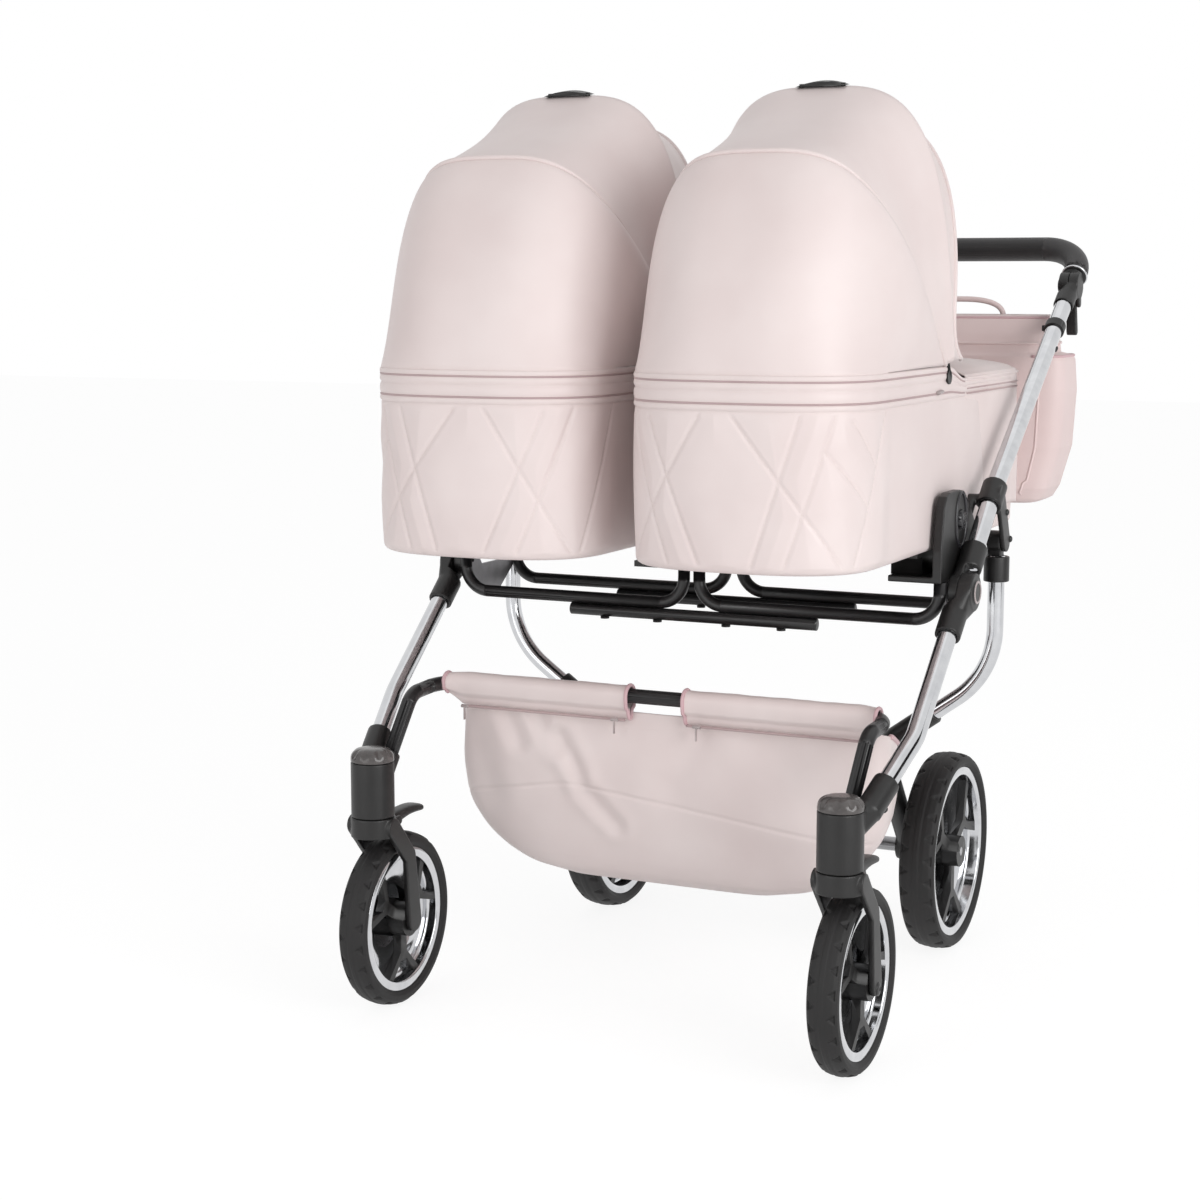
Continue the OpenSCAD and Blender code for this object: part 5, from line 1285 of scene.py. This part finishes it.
def rivet_points(point, normal, radius, height):
    side = unit(np.cross(normal, [0, 0, 1] if abs(normal[2]) < 0.9 else [1, 0, 0]))
    other = np.cross(normal, side)
    turn = np.linspace(0, 2 * math.pi, RIVET_SIDES, endpoint=False)
    round_way = np.outer(np.cos(turn), side) + np.outer(np.sin(turn), other)
    return np.concatenate([point + normal * height * MM * up + radius * MM * out * round_way for out, up in RIVET])


def rivets(name, body, places, radius=4.5, height=2.6, signs=(-1, 1)):
    corners, faces = [], []
    for node, place in places:
        for sign in signs:
            start = len(corners)
            corners += list(rivet_points(*seat(node, mirror_x(place, sign)), radius, height))
            for row in range(len(RIVET) - 1):
                for k in range(RIVET_SIDES):
                    a, b = start + row * RIVET_SIDES + k, start + row * RIVET_SIDES + (k + 1) % RIVET_SIDES
                    faces.append((a, a + RIVET_SIDES, b + RIVET_SIDES, b))
    piece = from_corners(name, corners, faces)
    merge(piece)
    edit(piece, lambda: bpy.ops.mesh.normals_make_consistent(inside=False))
    return dress(smooth(piece), powder_black, body, "bolt_black")


rivets("rivets_upper", "upper_frame", [
    ("leg_brackets", (385, 421, 642)), ("leg_brackets", (385, 463, 607)), ("fold_joint_sleeves", (385, 350, 594)),
    ("handle_tubes", (385, 670, 845)),
])
rivets("rivets_front", "front_frame", [
    ("front_legs", (385, 256, 526)), ("caster_sockets", (360, 6, 319)), ("caster_sockets", (360, 22, 301)),
])
rivets("rivets_rear", "rear_frame", [("rear_legs", (375, 498, 510)), ("rear_leg_sleeves", (375, 508, 565))])
for side, sign in SIDES.items():
    fork_lo, fork_hi = box_mm(f"fork_{side}")
    outer = max(abs(fork_lo[0]), abs(fork_hi[0])) + 20
    axle_end = [(f"fork_{side}", (outer, 0, fork_lo[2] + 9))]
    rivets(f"axle_cap_{side}", body_of[f"fork_{side}"], axle_end, 8.5, 2.4, (sign,))
print("rivets on three bodies, caps on two forks")

# %% Rings and lips
GRIP_WAY = unit(np.array([0, 73.0, 53.0]))
GRIP_RING, DISC_RING, LIP_RING, COLLAR_OUT = 17.4, 13.2, 22.0, 23.5
for side, sign in SIDES.items():
    ring = circle(mirror_x(TILT_AT, sign) + COLLAR_OUT * GRIP_WAY, GRIP_WAY, GRIP_RING)
    trim(f"grip_ring_{side}", ring, 1.7, chrome_plate, "handle", "chrome_tube", sides=10)
    cover = box_mm("fold_joint_covers")[1][0]
    ring = circle([sign * (cover - 0.4), *FOLD_AT[1:]], [1, 0, 0], DISC_RING)
    trim(f"fold_disc_ring_{side}", ring, 1.6, zip_metal, "front_frame", "grey_steel", sides=10)
    lo, hi = box_mm(f"release_button_{side}")
    outer = box_mm("outer_adaptors")[1][0]
    lip = circle([sign * outer, *(lo[1:] + hi[1:]) / 2], [1, 0, 0], LIP_RING, long=1.6)
    trim(f"adaptor_lip_{side}", lip, 2.6, gloss_button, "upper_frame", "button_plastic")
print("grip rings, fold discs and adaptor lips")

# %% [markdown]
# ## Studio
# The pram stands on a white sweep in soft light: one broad lamp from the right, a weaker one from the front
# left, a faint one above and an even sky. The camera sees the background as plain white, and the floor keeps
# the pram's shadow. In an all-white room chrome looks like paint, so photographers stand dark cards beside the
# camera: only the chrome and the gloss see them here, as dark streaks along the tubes.

# %% Floor, sky and lamps
bpy.ops.object.select_all(action="DESELECT")
bpy.ops.mesh.primitive_plane_add(size=30, location=(0, 0, 0))
floor = bpy.context.object
floor.name = "floor"
paper, tree, paper_face = plain_finish("white_studio_paper", Roughness=0.9, Base_Color=linear("#F2F2F2"))
# The unlit share of the mix is dimmer than white, so the glow makes up for it
glow = add(tree, "ShaderNodeEmission", {"Color": linear("#FFFFFF"), "Strength": 1.12})


def seen_directly(tree):
    path = add(tree, "ShaderNodeLightPath")
    seen = path.outputs["Is Camera Ray"]
    for kind in ("Is Glossy Ray", "Is Transmission Ray"):
        seen = add(tree, "ShaderNodeMath", {0: seen, 1: path.outputs[kind]}, operation="MAXIMUM").outputs[0]
    return seen


share = add(tree, "ShaderNodeMath", {0: seen_directly(tree), 1: 0.78}, operation="MULTIPLY")
blend = add(tree, "ShaderNodeMixShader", {0: share.outputs[0], 1: paper_face.outputs[0], 2: glow.outputs[0]})
tree.links.new(blend.outputs[0], tree.nodes["Material Output"].inputs["Surface"])
floor.data.materials.append(paper)

world = bpy.data.worlds.new("studio")
bpy.context.scene.world = world
world.use_nodes = True
tree = world.node_tree
sky = tree.nodes["Background"]
sky.inputs["Color"].default_value = (1, 1, 1, 1)
strength = add(tree, "ShaderNodeMapRange", {"Value": seen_directly(tree), "To Min": 0.5, "To Max": 1.0})
tree.links.new(strength.outputs["Result"], sky.inputs["Strength"])

LAMPS = {"key": ((3.6, -1.8, 1.6), 2.4, 80), "fill": ((-1.2, -3.8, 1.1), 2.4, 37), "top": ((0, 0.2, 3.6), 2.6, 3)}
for name, (place, size, watts) in LAMPS.items():
    lamp = into_scene(name, bpy.data.lights.new(name, "AREA"))
    lamp.data.size = size
    lamp.data.energy = watts
    lamp.location = place
    lamp.rotation_euler = (Vector((0, 0, 0.6)) - Vector(place)).to_track_quat("-Z", "Y").to_euler()
bpy.context.scene.view_settings.view_transform = "Standard"
print(len(LAMPS), "lamps")

# %% Dark cards for the chrome
card_paint = plain_finish("matt_black_card", Roughness=0.9, Base_Color=linear("#1C1C1D"))[0]
CARD_AWAY = 4.4
# Degrees to the right of the front, width and height of each card
CARDS = {"card_front": (-14, 2.0, 3.2), "card_left": (-75, 1.2, 3.2), "card_right": (98, 1.4, 3.2)}
for name, (turn, wide, high) in CARDS.items():
    bpy.ops.object.select_all(action="DESELECT")
    bpy.ops.mesh.primitive_plane_add(size=1)
    card = bpy.context.object
    card.name = name
    card.scale = (wide, high, 1)
    card.rotation_euler = (math.radians(90), 0, math.radians(turn))
    card.location = (CARD_AWAY * math.sin(math.radians(turn)), -CARD_AWAY * math.cos(math.radians(turn)), high / 2)
    card.data.materials.append(card_paint)
    card.visible_camera = card.visible_diffuse = card.visible_shadow = False
print(len(CARDS), "cards")
